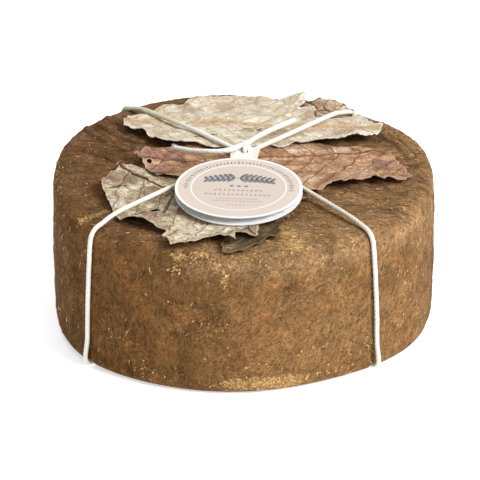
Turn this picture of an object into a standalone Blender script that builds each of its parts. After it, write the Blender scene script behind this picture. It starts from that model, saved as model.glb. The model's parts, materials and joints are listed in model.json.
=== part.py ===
"""A small wheel of cow's cheese with dry chestnut leaves on its top.

The wheel is a squat drum with rounded rims, a little out of round, and its rind is
uneven. Five dry leaves lie on the top, one over another. Butcher's twine crosses over
them, runs down the wall in four places, crosses again in two grooves that it has
pressed into the base, and is knotted in the middle of the top. A folded card tag hangs
from the knot by a loop through its neck. Metres, +Z up, the origin at the middle of the
base.
"""
import math
import random

import bmesh
import bpy
from mathutils import Vector, geometry, noise

MM = 0.001

# The wheel, in millimetres.
WHEEL_RADIUS = 85.0
WHEEL_HEIGHT = 65.2
TOP_RIM_RADIUS = 6.5
BOTTOM_RIM_RADIUS = 4.5
WALL_BULGE = 0.5
RIND_RELIEF = 0.45
TOP_RELIEF = 0.5
RIND_SECTORS = 96
FOOT_ROWS = 3
WALL_ROWS = 10
RIM_ROWS = 5
TOP_RINGS = (0.86, 0.7, 0.54, 0.38, 0.22)
# Each lobe of the outline: waves round the wheel, height in mm, direction in degrees.
OUTLINE_LOBES = ((1, 1.6, -166), (2, 0.4, -150), (3, 2.0, 5), (4, 0.9, 156),
                 (5, 0.5, 137), (6, 0.9, -167))

# The twine, in millimetres. Each strand: where it crosses the rim and the foot of the
# wall, as angles in degrees from +X.
TWINE_RADIUS = 1.0
TWINE_SIDES = 8
TWINE_CLEARANCE = 0.35
SUPPORT_REACH = 3.5
CROSSING = (0.5, 5.2, 69.8)
BASE_CROSSING = (-1.5, 5.4)
STRANDS = {
    "front_left": (-135.8, -137.9),
    "back_right": (49.8, 48.0),
    "front_right": (-49.8, -48.0),
    "back_left": (128.7, 130.0),
}
GROOVE_HALF_WIDTH = 1.35
GROOVE_DEPTH = 3.0
HUMP_HEIGHT = 2.35
HUMP_REACH = 12.0
LOWEST_AXIS = TWINE_RADIUS + 0.2
FOOT_BEND = 3.4

# The leaves, in millimetres.
LEAF_THICKNESS = 0.5
LEAF_GAP = 0.45
LEAF_GRID = 4.4
DRAPE_REACH = 12.0

# The tag, in millimetres.
TAG_DIAMETER = 54.0
TAG_CENTRE = (-2.1, -35.3)
TAG_TURN = -4.4
TAG_NECK_WIDTH = 12.8
TAG_FOLD = 36.9
TAG_HOLE = 32.9
TAG_HOLE_RADIUS = 1.6
CARD_THICKNESS = 0.5
FOLD_HEIGHT = 74.3
FRONT_CARD_SLOPE = 0.040
BACK_CARD_SLOPE = 0.094

# Each leaf: its outline as seen from above, anticlockwise or clockwise, the leaves that
# it lies on, its height over the wheel, its ripple, and its curls as x, y, reach, lift.
LEAVES = {
    "leaf_front_right": {
        "outline": ((-9.5, -77.5), (-8.5, -82.5), (-6, -83.5), (-1.5, -82), (1, -81.5),
                    (5, -77.5), (9.5, -71), (14, -69.5), (15.5, -66), (14.5, -61.5),
                    (17.5, -59), (16.5, -50), (19, -52.5), (21.5, -45), (26, -35),
                    (27.5, -31.5), (22.5, -24), (14, -33.5), (6.5, -48.5), (-1.5, -60.5),
                    (-7.5, -68)),
        "lies_on": (), "rest": 0.45, "ripple": 0.35, "phase": 1.3,
        "curls": ((25, -37, 8, 0.9),),
        "color": (0.20, 0.15, 0.085),
    },
    "leaf_front_left": {
        "outline": ((-55.5, 2), (-53.5, -3.5), (-57.5, -8.5), (-59.5, -12.5), (-60.5, -20),
                    (-60, -27), (-58.5, -31.5), (-55.5, -44), (-53.5, -51),
                    (-50.5, -56.5), (-46, -56.5), (-42.5, -58), (-39.5, -62),
                    (-32.5, -65), (-32, -70.5), (-34, -74.5), (-31.5, -76.5),
                    (-30.5, -80), (-18, -77.5), (-10.5, -73.5), (-3.5, -77.5),
                    (-3.5, -70.5), (5.5, -72), (6, -67), (6, -56), (-1.5, -39.5),
                    (-12, -24.5), (-23, -12.5), (-34, -4.5), (-41.5, -2.5),
                    (-51, -0.5)),
        "lies_on": ("leaf_front_right",), "rest": 0.45, "ripple": 0.5, "phase": 0.0,
        "curls": ((-59, -24, 13, 1.0), (-36, -66, 12, 0.9), (-52, -1, 7, 0.9)),
        "color": (0.33, 0.29, 0.19),
    },
    "leaf_back_right": {
        "outline": ((26.5, 65.5), (29.5, 69.5), (33, 67), (33.5, 69), (37.5, 65),
                    (40.5, 68), (45.5, 61.5), (46.5, 56.5), (45, 48.5), (38.5, 40.5),
                    (27.5, 40.5), (23.5, 53.5)),
        "lies_on": (), "rest": 0.45, "ripple": 0.4, "phase": 2.2,
        "curls": ((34, 68, 9, 1.0),),
        "color": (0.36, 0.24, 0.13),
    },
    "leaf_middle": {
        "outline": ((-48, 8), (-45.5, 11), (-42.5, 17), (-35.5, 18), (-25.5, 25.5),
                    (-12.5, 27.5), (3, 28.5), (20.5, 27), (36, 22), (42, 21),
                    (49, 18.5), (54.5, 16), (64, 14), (67.5, 6.5), (70.5, -4),
                    (73.5, -10.5), (64.5, -14.5), (60, -17), (55.5, -15.5),
                    (49.5, -18), (47, -22), (40, -18), (33.5, -25), (29.5, -23.5),
                    (11.5, -21.5), (-5.5, -19.5), (-18.5, -17), (-27, -14),
                    (-38, -11), (-41.5, -6.5), (-44, 2.5)),
        "lies_on": ("leaf_front_left",), "rest": 0.45, "ripple": 0.6, "phase": 0.9,
        "curls": ((47, -21, 12, 1.5), (-43, 15, 9, 0.9)),
        "color": (0.32, 0.17, 0.10),
    },
    "leaf_back": {
        "outline": ((-53, 38.5), (-49, 35.5), (-45, 34.5), (-41.5, 27), (-37, 22.5),
                    (-31, 18.5), (-25.5, 17), (-20.5, 19), (-12, 15.5), (3, 16),
                    (10, 21.5), (15, 17.5), (24.5, 20.5), (34.5, 20.5), (39, 22),
                    (44, 22.5), (47, 25), (53.5, 24), (58.5, 26.5), (60.5, 31.5),
                    (61.5, 39), (58.5, 40.5), (56, 46), (51, 50.5), (43, 47.5),
                    (34, 46), (32, 54), (31.5, 59), (24.5, 57), (27, 62),
                    (28.5, 68.5), (19, 68.5), (7, 71.5), (-1.5, 73.5), (-14, 72.5),
                    (-22.5, 70.5), (-26.5, 65), (-34.5, 63), (-41.5, 57),
                    (-51.5, 50.5), (-53, 44.5)),
        "lies_on": ("leaf_middle", "leaf_back_right"), "rest": 0.45, "ripple": 0.9,
        "phase": 2.6,
        "curls": ((-36, 22, 16, 1.8), (-53, 42, 12, 1.2), (52, 24, 12, 1.6),
                  (61, 38, 10, 1.2), (28, 67, 10, 0.9)),
        "color": (0.55, 0.46, 0.33),
    },
}


def clear_scene():
    """Remove what the file holds, so that the model is all there is."""
    for item in list(bpy.data.objects):
        bpy.data.objects.remove(item, do_unlink=True)


def finish(name, color, roughness):
    """Material of one sub-part."""
    material = bpy.data.materials.new(name)
    material.use_nodes = True
    shader = material.node_tree.nodes["Principled BSDF"]
    shader.inputs["Base Color"].default_value = (*color, 1.0)
    shader.inputs["Roughness"].default_value = roughness
    shader.inputs["Metallic"].default_value = 0.0
    return material


def add_object(name, mesh_data, material):
    """One object from a bmesh in millimetres."""
    bmesh.ops.scale(mesh_data, vec=(MM, MM, MM), verts=mesh_data.verts)
    mesh = bpy.data.meshes.new(name)
    mesh_data.to_mesh(mesh)
    mesh_data.free()
    mesh.materials.append(material)
    item = bpy.data.objects.new(name, mesh)
    bpy.context.collection.objects.link(item)
    return item


def smooth_share(value):
    """A soft step from 0 to 1."""
    value = min(max(value, 0.0), 1.0)
    return value * value * (3.0 - 2.0 * value)


def cut_with(item, cutters):
    """Cut the listed cutters out of an object and remove them."""
    group = bpy.data.collections.new(item.name + "_cutters")
    for cutter in cutters:
        cutter.hide_render = True
        cutter.display_type = "WIRE"
        group.objects.link(cutter)
    cut = item.modifiers.new("cut", "BOOLEAN")
    cut.operation = "DIFFERENCE"
    cut.operand_type = "COLLECTION"
    cut.collection = group
    cut.solver = "EXACT"
    apply_modifiers(item)
    for cutter in cutters:
        bpy.data.objects.remove(cutter, do_unlink=True)
    bpy.data.collections.remove(group)


def join_bodies(item, others):
    """Fuse the listed bodies to an object and remove them."""
    group = bpy.data.collections.new(item.name + "_bodies")
    for other in others:
        group.objects.link(other)
    union = item.modifiers.new("union", "BOOLEAN")
    union.operation = "UNION"
    union.operand_type = "COLLECTION"
    union.collection = group
    union.solver = "EXACT"
    apply_modifiers(item)
    for other in others:
        bpy.data.objects.remove(other, do_unlink=True)
    bpy.data.collections.remove(group)


def apply_modifiers(item):
    """Turn an object's modifiers into mesh."""
    graph = bpy.context.evaluated_depsgraph_get()
    mesh = bpy.data.meshes.new_from_object(item.evaluated_get(graph))
    item.modifiers.clear()
    old = item.data
    item.data = mesh
    bpy.data.meshes.remove(old)


def box(name, low, high, turn, centre):
    """A cutter box from its corners, turned about Z round a point."""
    mesh_data = bmesh.new()
    bmesh.ops.create_cube(mesh_data, size=1.0)
    size = [high[i] - low[i] for i in range(3)]
    middle = [(high[i] + low[i]) / 2 for i in range(3)]
    cosine, sine = math.cos(turn), math.sin(turn)
    for vert in mesh_data.verts:
        x = vert.co.x * size[0] + middle[0]
        y = vert.co.y * size[1] + middle[1]
        z = vert.co.z * size[2] + middle[2]
        vert.co = (centre[0] + x * cosine - y * sine, centre[1] + x * sine + y * cosine, z)
    return add_object(name, mesh_data, finish(name, (0.5, 0.5, 0.5), 0.5))


# The wheel of cheese.

def outline_radius(angle):
    """Radius of the wheel in a direction, with its lobes."""
    radius = WHEEL_RADIUS
    for waves, height, direction in OUTLINE_LOBES:
        radius += height * math.cos(waves * angle - math.radians(direction))
    return radius


def rind_relief(x, y, z):
    """Height of the rind's shallow lumps, from 0 inwards."""
    coarse = noise.noise(Vector((x / 17.0, y / 17.0, z / 11.0)))
    fine = noise.noise(Vector((x / 7.0 + 9.0, y / 7.0, z / 9.0)))
    return RIND_RELIEF * (0.7 * coarse + 0.5 * fine - 0.6)


def top_surface(x, y):
    """Height of the wheel's top, which never rises over WHEEL_HEIGHT."""
    wave = 0.5 + 0.5 * noise.noise(Vector((x / 24.0, y / 24.0, 3.7)))
    return WHEEL_HEIGHT - TOP_RELIEF * min(max(wave, 0.0), 1.0)


def rind_profile():
    """Section of the wheel from the foot to the edge of the top: inset and height."""
    rows = []
    for i in range(FOOT_ROWS + 1):
        turn = math.pi / 2 * i / FOOT_ROWS
        rows.append((BOTTOM_RIM_RADIUS * (1 - math.sin(turn)),
                     BOTTOM_RIM_RADIUS * (1 - math.cos(turn))))
    low = BOTTOM_RIM_RADIUS
    high = WHEEL_HEIGHT - TOP_RIM_RADIUS
    for i in range(1, WALL_ROWS):
        share = i / WALL_ROWS
        bulge = WALL_BULGE * math.sin(math.pi * share)
        rows.append((-bulge, low + (high - low) * share))
    for i in range(RIM_ROWS + 1):
        turn = math.pi / 2 * i / RIM_ROWS
        rows.append((TOP_RIM_RADIUS * (1 - math.cos(turn)),
                     high + TOP_RIM_RADIUS * math.sin(turn)))
    return rows


def rind_point(angle, inset, height):
    """A point of the rind: the flat base has no lumps, the rest has."""
    radius = outline_radius(angle) - inset
    x, y = radius * math.cos(angle), radius * math.sin(angle)
    if height > 0.0:
        radius += rind_relief(x, y, height)
        x, y = radius * math.cos(angle), radius * math.sin(angle)
    return x, y, height


def build_wheel():
    """The cheese: base, foot, wall, rim and top as one turned skin."""
    mesh_data = bmesh.new()
    rings = []
    for inset, height in rind_profile():
        ring = []
        for i in range(RIND_SECTORS):
            angle = 2 * math.pi * i / RIND_SECTORS
            x, y, z = rind_point(angle, inset, height)
            if height > WHEEL_HEIGHT - TOP_RIM_RADIUS:
                share = (height - WHEEL_HEIGHT + TOP_RIM_RADIUS) / TOP_RIM_RADIUS
                z += share * (top_surface(x, y) - WHEEL_HEIGHT)
            ring.append(mesh_data.verts.new((x, y, z)))
        rings.append(ring)
    for share in TOP_RINGS:
        ring = []
        for i in range(RIND_SECTORS):
            angle = 2 * math.pi * i / RIND_SECTORS
            radius = (outline_radius(angle) - TOP_RIM_RADIUS) * share
            x, y = radius * math.cos(angle), radius * math.sin(angle)
            ring.append(mesh_data.verts.new((x, y, top_surface(x, y))))
        rings.append(ring)
    for lower, upper in zip(rings, rings[1:]):
        for i in range(RIND_SECTORS):
            j = (i + 1) % RIND_SECTORS
            mesh_data.faces.new((lower[i], lower[j], upper[j], upper[i]))
    crown = mesh_data.verts.new((0.0, 0.0, top_surface(0.0, 0.0)))
    for i in range(RIND_SECTORS):
        j = (i + 1) % RIND_SECTORS
        mesh_data.faces.new((rings[-1][i], rings[-1][j], crown))
    mesh_data.faces.new(list(reversed(rings[0])))
    bmesh.ops.triangulate(mesh_data, faces=[f for f in mesh_data.faces if len(f.verts) == 4])
    wheel = add_object("cheese", mesh_data, finish("rind", (0.23, 0.135, 0.07), 0.85))
    cut_with(wheel, base_grooves())
    wheel.data.shade_smooth()
    wheel.data.set_sharp_from_angle(angle=math.radians(40))
    return wheel


def foot_of(strand):
    """Where a strand meets the foot of the wall, seen from above."""
    angle = math.radians(STRANDS[strand][1])
    radius = outline_radius(angle)
    return radius * math.cos(angle), radius * math.sin(angle)


def base_grooves():
    """Cutters of the grooves that the twine has pressed into the base."""
    cutters = []
    half = GROOVE_HALF_WIDTH
    for strand in STRANDS:
        x, y = foot_of(strand)
        turn = math.atan2(y - BASE_CROSSING[1], x - BASE_CROSSING[0])
        length = math.hypot(x - BASE_CROSSING[0], y - BASE_CROSSING[1])
        cutters.append(box("groove_" + strand, (-half, -half, -1.0),
                           (length + half, half, GROOVE_DEPTH), turn, BASE_CROSSING))
    x, y = foot_of("front_right")
    turn = math.atan2(y - BASE_CROSSING[1], x - BASE_CROSSING[0])
    cutters.append(box("groove_hump", (-HUMP_REACH, -half - 0.1, -1.1),
                       (HUMP_REACH, half + 0.1, GROOVE_DEPTH + HUMP_HEIGHT), turn, BASE_CROSSING))
    return cutters


# The leaves.

def inside_outline(x, y, outline):
    """True where a point lies inside a closed outline."""
    inside = False
    count = len(outline)
    for i in range(count):
        x1, y1 = outline[i]
        x2, y2 = outline[(i + 1) % count]
        if (y1 > y) != (y2 > y) and x < (x2 - x1) * (y - y1) / (y2 - y1) + x1:
            inside = not inside
    return inside


def outline_distance(x, y, outline):
    """Distance from a point to the nearest side of a closed outline."""
    nearest = 1e9
    count = len(outline)
    for i in range(count):
        x1, y1 = outline[i]
        x2, y2 = outline[(i + 1) % count]
        dx, dy = x2 - x1, y2 - y1
        share = ((x - x1) * dx + (y - y1) * dy) / (dx * dx + dy * dy)
        share = min(max(share, 0.0), 1.0)
        nearest = min(nearest, math.hypot(x - x1 - share * dx, y - y1 - share * dy))
    return nearest


def leaf_underside(name, x, y):
    """Height of a leaf's underside: it drapes over what it lies on, ripples and curls."""
    leaf = LEAVES[name]
    height = WHEEL_HEIGHT + leaf["rest"]
    radius = math.hypot(x, y)
    edge = outline_radius(math.atan2(y, x)) - TOP_RIM_RADIUS
    if radius > edge:
        over = min(radius - edge, TOP_RIM_RADIUS)
        height -= 0.5 * (TOP_RIM_RADIUS - math.sqrt(TOP_RIM_RADIUS ** 2 - over ** 2))
    for lower in leaf["lies_on"]:
        outline = LEAVES[lower]["outline"]
        if inside_outline(x, y, outline):
            share = 1.0
        else:
            share = smooth_share(1.0 - (outline_distance(x, y, outline) - 1.5) / DRAPE_REACH)
        if share > 0.0:
            over = leaf_underside(lower, x, y) + LEAF_THICKNESS + LEAF_GAP
            height = max(height, height + share * (over - height))
    ripple = 0.5 + 0.5 * math.sin(x / 6.3 + leaf["phase"]) * math.cos(y / 5.4 - leaf["phase"])
    height += leaf["ripple"] * ripple
    for cx, cy, reach, lift in leaf["curls"]:
        spread = ((x - cx) ** 2 + (y - cy) ** 2) / (reach * reach)
        height += lift * math.exp(-spread)
    return height


def torn_edge(outline, seed):
    """The outline with points every few millimetres and small ragged steps."""
    draw = random.Random(seed)
    points = []
    count = len(outline)
    for i in range(count):
        x1, y1 = outline[i]
        x2, y2 = outline[(i + 1) % count]
        length = math.hypot(x2 - x1, y2 - y1)
        steps = max(1, round(length / LEAF_GRID))
        for k in range(steps):
            share = k / steps
            step = draw.uniform(-0.35, 0.35) if k else 0.0
            points.append((x1 + (x2 - x1) * share - step * (y2 - y1) / length,
                           y1 + (y2 - y1) * share + step * (x2 - x1) / length))
    return points


def build_leaf(name, seed):
    """One leaf: a thin wavy solid whose two faces are split alike."""
    leaf = LEAVES[name]
    edge = torn_edge(leaf["outline"], seed)
    points = list(edge)
    low_x, high_x = min(p[0] for p in edge), max(p[0] for p in edge)
    low_y, high_y = min(p[1] for p in edge), max(p[1] for p in edge)
    row_step = LEAF_GRID * math.sqrt(0.75)
    for row in range(int((high_y - low_y) / row_step) + 1):
        y = low_y + row * row_step
        shift = LEAF_GRID / 2 if row % 2 else 0.0
        for column in range(int((high_x - low_x) / LEAF_GRID) + 2):
            x = low_x + column * LEAF_GRID + shift
            if inside_outline(x, y, edge) and outline_distance(x, y, edge) > LEAF_GRID * 0.5:
                points.append((x, y))
    count = len(edge)
    sides = [(i, (i + 1) % count) for i in range(count)]
    flat = geometry.delaunay_2d_cdt([Vector(p) for p in points], sides, [], 1, 1e-6)
    places, triangles = flat[0], flat[2]
    mesh_data = bmesh.new()
    under = []
    upper = []
    for place in places:
        height = leaf_underside(name, place.x, place.y)
        under.append(mesh_data.verts.new((place.x, place.y, height)))
        upper.append(mesh_data.verts.new((place.x, place.y, height + LEAF_THICKNESS)))
    used = {}
    for triangle in triangles:
        a, b, c = triangle
        if geometry.normal((places[a].to_3d(), places[b].to_3d(), places[c].to_3d())).z < 0:
            a, b, c = c, b, a
        mesh_data.faces.new((upper[a], upper[b], upper[c]))
        mesh_data.faces.new((under[c], under[b], under[a]))
        for first, second in ((a, b), (b, c), (c, a)):
            used[(first, second)] = True
    for first, second in used:
        if (second, first) not in used:
            mesh_data.faces.new((under[first], under[second], upper[second], upper[first]))
    loose = [v for v in mesh_data.verts if not v.link_faces]
    bmesh.ops.delete(mesh_data, geom=loose, context="VERTS")
    bmesh.ops.triangulate(mesh_data, faces=[f for f in mesh_data.faces if len(f.verts) == 4])
    item = add_object(name, mesh_data, finish(name, leaf["color"], 0.8))
    item.data.shade_smooth()
    item.data.set_sharp_from_angle(angle=math.radians(50))
    return item


# The twine.

def support_height(x, y):
    """Height of the highest leaf or of the cheese under a place."""
    height = top_surface(x, y)
    for name, leaf in LEAVES.items():
        near = outline_distance(x, y, leaf["outline"]) < SUPPORT_REACH
        if near or inside_outline(x, y, leaf["outline"]):
            height = max(height, leaf_underside(name, x, y) + LEAF_THICKNESS)
    return height


def taut_strand(strand):
    """Points of a strand on the top: straight from above, and taut over what is under."""
    angle = math.radians(STRANDS[strand][0])
    rim = outline_radius(angle) - TOP_RIM_RADIUS
    end = (rim * math.cos(angle), rim * math.sin(angle))
    lift = TWINE_RADIUS + TWINE_CLEARANCE
    samples = 40
    places = []
    for i in range(samples + 1):
        share = i / samples
        x = CROSSING[0] + (end[0] - CROSSING[0]) * share
        y = CROSSING[1] + (end[1] - CROSSING[1]) * share
        places.append((share, x, y, support_height(x, y) + lift))
    places[0] = (0.0, CROSSING[0], CROSSING[1], CROSSING[2])
    places[-1] = (1.0, end[0], end[1], WHEEL_HEIGHT + lift)
    hull = []
    for place in places:
        while len(hull) >= 2:
            a, b = hull[-2], hull[-1]
            rise = (b[3] - a[3]) * (place[0] - a[0]) - (place[3] - a[3]) * (b[0] - a[0])
            if rise > 0:
                break
            hull.pop()
        hull.append(place)
    points = []
    for a, b in zip(hull, hull[1:]):
        steps = max(1, round((b[0] - a[0]) * 6))
        for k in range(steps):
            share = k / steps
            points.append(tuple(a[i] + (b[i] - a[i]) * share for i in (1, 2, 3)))
    return points


def wall_strand(strand):
    """Points of a strand from the rim down the wall into its groove."""
    rim_angle, foot_angle = (math.radians(a) for a in STRANDS[strand])
    lift = TWINE_RADIUS + TWINE_CLEARANCE
    points = []
    centre_height = WHEEL_HEIGHT - TOP_RIM_RADIUS
    reach = TOP_RIM_RADIUS + lift
    for turn in (0, 30, 60, 90):
        inset = TOP_RIM_RADIUS - reach * math.sin(math.radians(turn))
        height = centre_height + reach * math.cos(math.radians(turn))
        radius = outline_radius(rim_angle) - inset
        points.append((radius * math.cos(rim_angle), radius * math.sin(rim_angle), height))
    rows = (48.0, 36.0, 24.0, 13.0)
    for height in rows:
        angle = foot_angle + (rim_angle - foot_angle) * height / centre_height
        bulge = WALL_BULGE * math.sin(math.pi * height / centre_height)
        radius = outline_radius(angle) + bulge + lift + 0.1
        points.append((radius * math.cos(angle), radius * math.sin(angle), height))
    radius = outline_radius(foot_angle) - 1.5
    for turn in (0, 30, 60, 90):
        out = radius + FOOT_BEND * math.cos(math.radians(turn))
        height = LOWEST_AXIS + FOOT_BEND * (1 - math.sin(math.radians(turn)))
        points.append((out * math.cos(foot_angle), out * math.sin(foot_angle), height))
    return points


def base_run(first, second, hump):
    """Points of the run under the base between two feet, with a hump at the crossing."""
    points = []
    for strand in (first, second):
        x, y = foot_of(strand)
        reach = Vector((x - BASE_CROSSING[0], y - BASE_CROSSING[1]))
        step = reach.normalized()
        half = [(reach * share, 0.0) for share in (0.8, 0.6, 0.4, 0.2)]
        if hump:
            half += [(step * 7.0, hump * 0.13), (step * 3.5, hump * 0.72)]
        half = [(BASE_CROSSING[0] + place.x, BASE_CROSSING[1] + place.y, LOWEST_AXIS + rise)
                for place, rise in half]
        if strand == first:
            points += half + [(*BASE_CROSSING, LOWEST_AXIS + hump)]
        else:
            points += list(reversed(half))
    return points


def tube(name, points, radius, closed=False, sides=TWINE_SIDES):
    """A round cord along the points, with flat ends, or closed on itself."""
    count = len(points)
    places = [Vector(p) for p in points]
    mesh_data = bmesh.new()
    rings = []
    across = None
    for i, place in enumerate(places):
        before = places[i - 1] if (i or closed) else place
        after = places[(i + 1) % count] if (i < count - 1 or closed) else place
        along = (after - before).normalized()
        if across is None:
            across = along.orthogonal().normalized()
        across = (across - across.dot(along) * along).normalized()
        other = along.cross(across)
        ring = []
        for k in range(sides):
            angle = 2 * math.pi * k / sides
            offset = across * math.cos(angle) * radius + other * math.sin(angle) * radius
            ring.append(mesh_data.verts.new(place + offset))
        rings.append(ring)
    pairs = list(zip(rings, rings[1:]))
    for lower, upper in pairs:
        for k in range(sides):
            j = (k + 1) % sides
            mesh_data.faces.new((lower[k], lower[j], upper[j], upper[k]))
    if closed:
        lower, upper = rings[-1], rings[0]
        start = min(range(sides), key=lambda k: (upper[k].co - lower[0].co).length)
        for k in range(sides):
            j = (k + 1) % sides
            mesh_data.faces.new((lower[k], lower[j], upper[(start + j) % sides],
                                 upper[(start + k) % sides]))
    else:
        mesh_data.faces.new(list(reversed(rings[0])))
        mesh_data.faces.new(rings[-1])
    bmesh.ops.recalc_face_normals(mesh_data, faces=mesh_data.faces)
    return add_object(name, mesh_data, finish(name, (0.8, 0.77, 0.68), 0.85))


def ring_points(centre, radius, normal, count):
    """Points of a ring round a centre."""
    axis = Vector(normal).normalized()
    across = axis.orthogonal().normalized()
    other = axis.cross(across)
    points = []
    for i in range(count):
        angle = 2 * math.pi * i / count
        offset = across * math.cos(angle) * radius + other * math.sin(angle) * radius
        points.append(Vector(centre) + offset)
    return points


def tag_frame():
    """The tag's middle and the directions across it and towards its fold."""
    turn = math.radians(TAG_TURN)
    across = Vector((math.cos(turn), math.sin(turn)))
    towards_fold = Vector((-math.sin(turn), math.cos(turn)))
    return Vector(TAG_CENTRE), across, towards_fold


def card_height(back, slope):
    """Height of a card's middle at a distance from the tag's middle towards the fold."""
    return FOLD_HEIGHT - (TAG_FOLD - back) * slope


def build_twine():
    """The whole binding, its knot, the loop through the tag and the two ends."""
    bodies = []
    for first, second, hump in (("front_left", "back_right", 0.0),
                                ("front_right", "back_left", HUMP_HEIGHT)):
        points = taut_strand(first) + wall_strand(first) + base_run(first, second, hump)
        points += list(reversed(taut_strand(second) + wall_strand(second)))
        bodies.append(tube("twine_" + first, points, TWINE_RADIUS))
    x, y, z = CROSSING
    knot = (x, y, z + 2.4)
    low_turn = ring_points(knot, 1.35, (1, 0.35, 0.2), 8)
    bodies.append(tube("knot_low", low_turn, TWINE_RADIUS, True, 6))
    high_turn = ring_points((x + 0.3, y, z + 3.9), 1.2, (0.5, -1, 0.4), 8)
    bodies.append(tube("knot_high", high_turn, TWINE_RADIUS, True, 6))
    core = ((x, y, z - 0.3), (x, y + 0.1, z + 2.0), (x + 0.2, y, z + 4.6))
    bodies.append(tube("knot_core", core, 1.3))
    centre, _, towards_fold = tag_frame()
    hole = centre + towards_fold * TAG_HOLE
    fold = centre + towards_fold * TAG_FOLD
    loop = ((x, y, z + 3.6), (fold.x, fold.y + 1.9, FOLD_HEIGHT + 1.2),
            (fold.x, fold.y + 0.2, FOLD_HEIGHT + 1.7), (hole.x, hole.y + 1.3, FOLD_HEIGHT + 1.7),
            (hole.x, hole.y + 0.1, FOLD_HEIGHT + 1.1), (hole.x, hole.y - 0.2, FOLD_HEIGHT - 0.3),
            (hole.x, hole.y, FOLD_HEIGHT - 1.9), (hole.x, hole.y + 1.8, FOLD_HEIGHT - 2.8),
            (x, y, z + 0.8))
    bodies.append(tube("tag_loop", loop, 0.9, sides=6))
    left_end = ((x, y, z + 4.6), (x - 2.0, y - 4.4, z + 6.4), (x - 6.0, y - 8.0, z + 6.2),
                (x - 11.5, y - 9.0, z + 5.6), (x - 17.0, y - 7.8, z + 4.7),
                (x - 23.5, y - 3.3, z + 3.2), (x - 31.0, y + 3.2, z + 1.4))
    bodies.append(tube("end_left", left_end, 1.1))
    right_end = ((x + 0.2, y, z + 4.2), (x + 3.2, y + 3.2, z + 5.0), (x + 8.8, y + 10.6, z + 5.2),
                 (x + 15.5, y + 19.2, z + 4.6), (x + 22.6, y + 27.8, z + 4.0))
    bodies.append(tube("end_right", right_end, 1.15))
    twine = bodies[0]
    join_bodies(twine, bodies[1:])
    twine.name = "twine"
    twine.data.shade_smooth()
    return twine


# The tag.

def card(name, slope):
    """One side of the folded card: a disc with its neck, on a slope from the fold."""
    centre, across, towards_fold = tag_frame()
    half = TAG_NECK_WIDTH / 2
    radius = TAG_DIAMETER / 2
    start = math.asin(half / radius)
    outline = [(half, TAG_FOLD), (-half, TAG_FOLD)]
    steps = 46
    for i in range(steps + 1):
        angle = math.pi / 2 + start + (2 * math.pi - 2 * start) * i / steps
        outline.append((radius * math.cos(angle), radius * math.sin(angle)))
    mesh_data = bmesh.new()
    low = []
    high = []
    for side, back in outline:
        place = centre + across * side + towards_fold * back
        height = card_height(back, slope)
        low.append(mesh_data.verts.new((place.x, place.y, height - CARD_THICKNESS / 2)))
        high.append(mesh_data.verts.new((place.x, place.y, height + CARD_THICKNESS / 2)))
    count = len(outline)
    mesh_data.faces.new(high)
    mesh_data.faces.new(list(reversed(low)))
    for i in range(count):
        j = (i + 1) % count
        mesh_data.faces.new((low[i], low[j], high[j], high[i]))
    bmesh.ops.recalc_face_normals(mesh_data, faces=mesh_data.faces)
    return add_object(name, mesh_data, finish(name, (0.86, 0.78, 0.72), 0.6))


def build_tag():
    """The folded card: two discs that part from the fold, with one hole through both."""
    front = card("tag", FRONT_CARD_SLOPE)
    back = card("tag_back", BACK_CARD_SLOPE)
    join_bodies(front, [back])
    centre, _, towards_fold = tag_frame()
    hole = centre + towards_fold * TAG_HOLE
    mesh_data = bmesh.new()
    bmesh.ops.create_cone(mesh_data, cap_ends=True, segments=16, radius1=TAG_HOLE_RADIUS,
                          radius2=TAG_HOLE_RADIUS, depth=8.0)
    bmesh.ops.translate(mesh_data, vec=(hole.x, hole.y, FOLD_HEIGHT), verts=mesh_data.verts)
    cut_with(front, [add_object("tag_hole", mesh_data, finish("tag_hole", (0.5, 0.5, 0.5), 0.5))])
    return front


clear_scene()
build_wheel()
for number, leaf_name in enumerate(LEAVES):
    build_leaf(leaf_name, 20 + number)
build_tag()
build_twine()
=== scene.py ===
import json
import math
import random

import bmesh
import bpy
import numpy as np
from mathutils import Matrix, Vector, noise
from mathutils.bvhtree import BVHTree

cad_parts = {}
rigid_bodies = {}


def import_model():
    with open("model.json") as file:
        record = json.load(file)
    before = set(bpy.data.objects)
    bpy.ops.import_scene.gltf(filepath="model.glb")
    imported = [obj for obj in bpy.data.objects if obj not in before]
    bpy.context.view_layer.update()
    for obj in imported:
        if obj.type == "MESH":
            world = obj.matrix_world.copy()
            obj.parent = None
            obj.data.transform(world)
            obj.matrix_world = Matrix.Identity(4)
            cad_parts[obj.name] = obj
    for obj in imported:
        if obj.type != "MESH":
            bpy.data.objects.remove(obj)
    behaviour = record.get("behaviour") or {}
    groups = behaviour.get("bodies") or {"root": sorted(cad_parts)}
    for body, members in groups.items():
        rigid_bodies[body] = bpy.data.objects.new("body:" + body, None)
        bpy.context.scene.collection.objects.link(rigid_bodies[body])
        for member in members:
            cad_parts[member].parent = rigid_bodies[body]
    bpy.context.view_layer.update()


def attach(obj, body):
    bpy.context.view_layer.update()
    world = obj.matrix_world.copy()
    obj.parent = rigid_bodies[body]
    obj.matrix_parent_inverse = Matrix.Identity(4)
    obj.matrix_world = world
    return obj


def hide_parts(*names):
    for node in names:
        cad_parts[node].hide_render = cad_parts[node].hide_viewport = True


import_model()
bpy.ops.object.select_all(action="DESELECT")

# The studio. The cheese stands on plain white paper under large soft lamps, and a long
# lens looks at it from the front and a little above.
MM = 0.001
VIEW_TARGET = (-1.56, -0.40, 31.0)
VIEW_DISTANCE = 1600.0
VIEW_ELEVATION = math.radians(26.97)
LENS = 272.8
PAPER_SIZE = 6.0


def aim(thing, target):
    """Turn a lamp or camera towards a place."""
    way = Vector(target) * MM - thing.location
    thing.rotation_euler = way.to_track_quat("-Z", "Y").to_euler()


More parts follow.
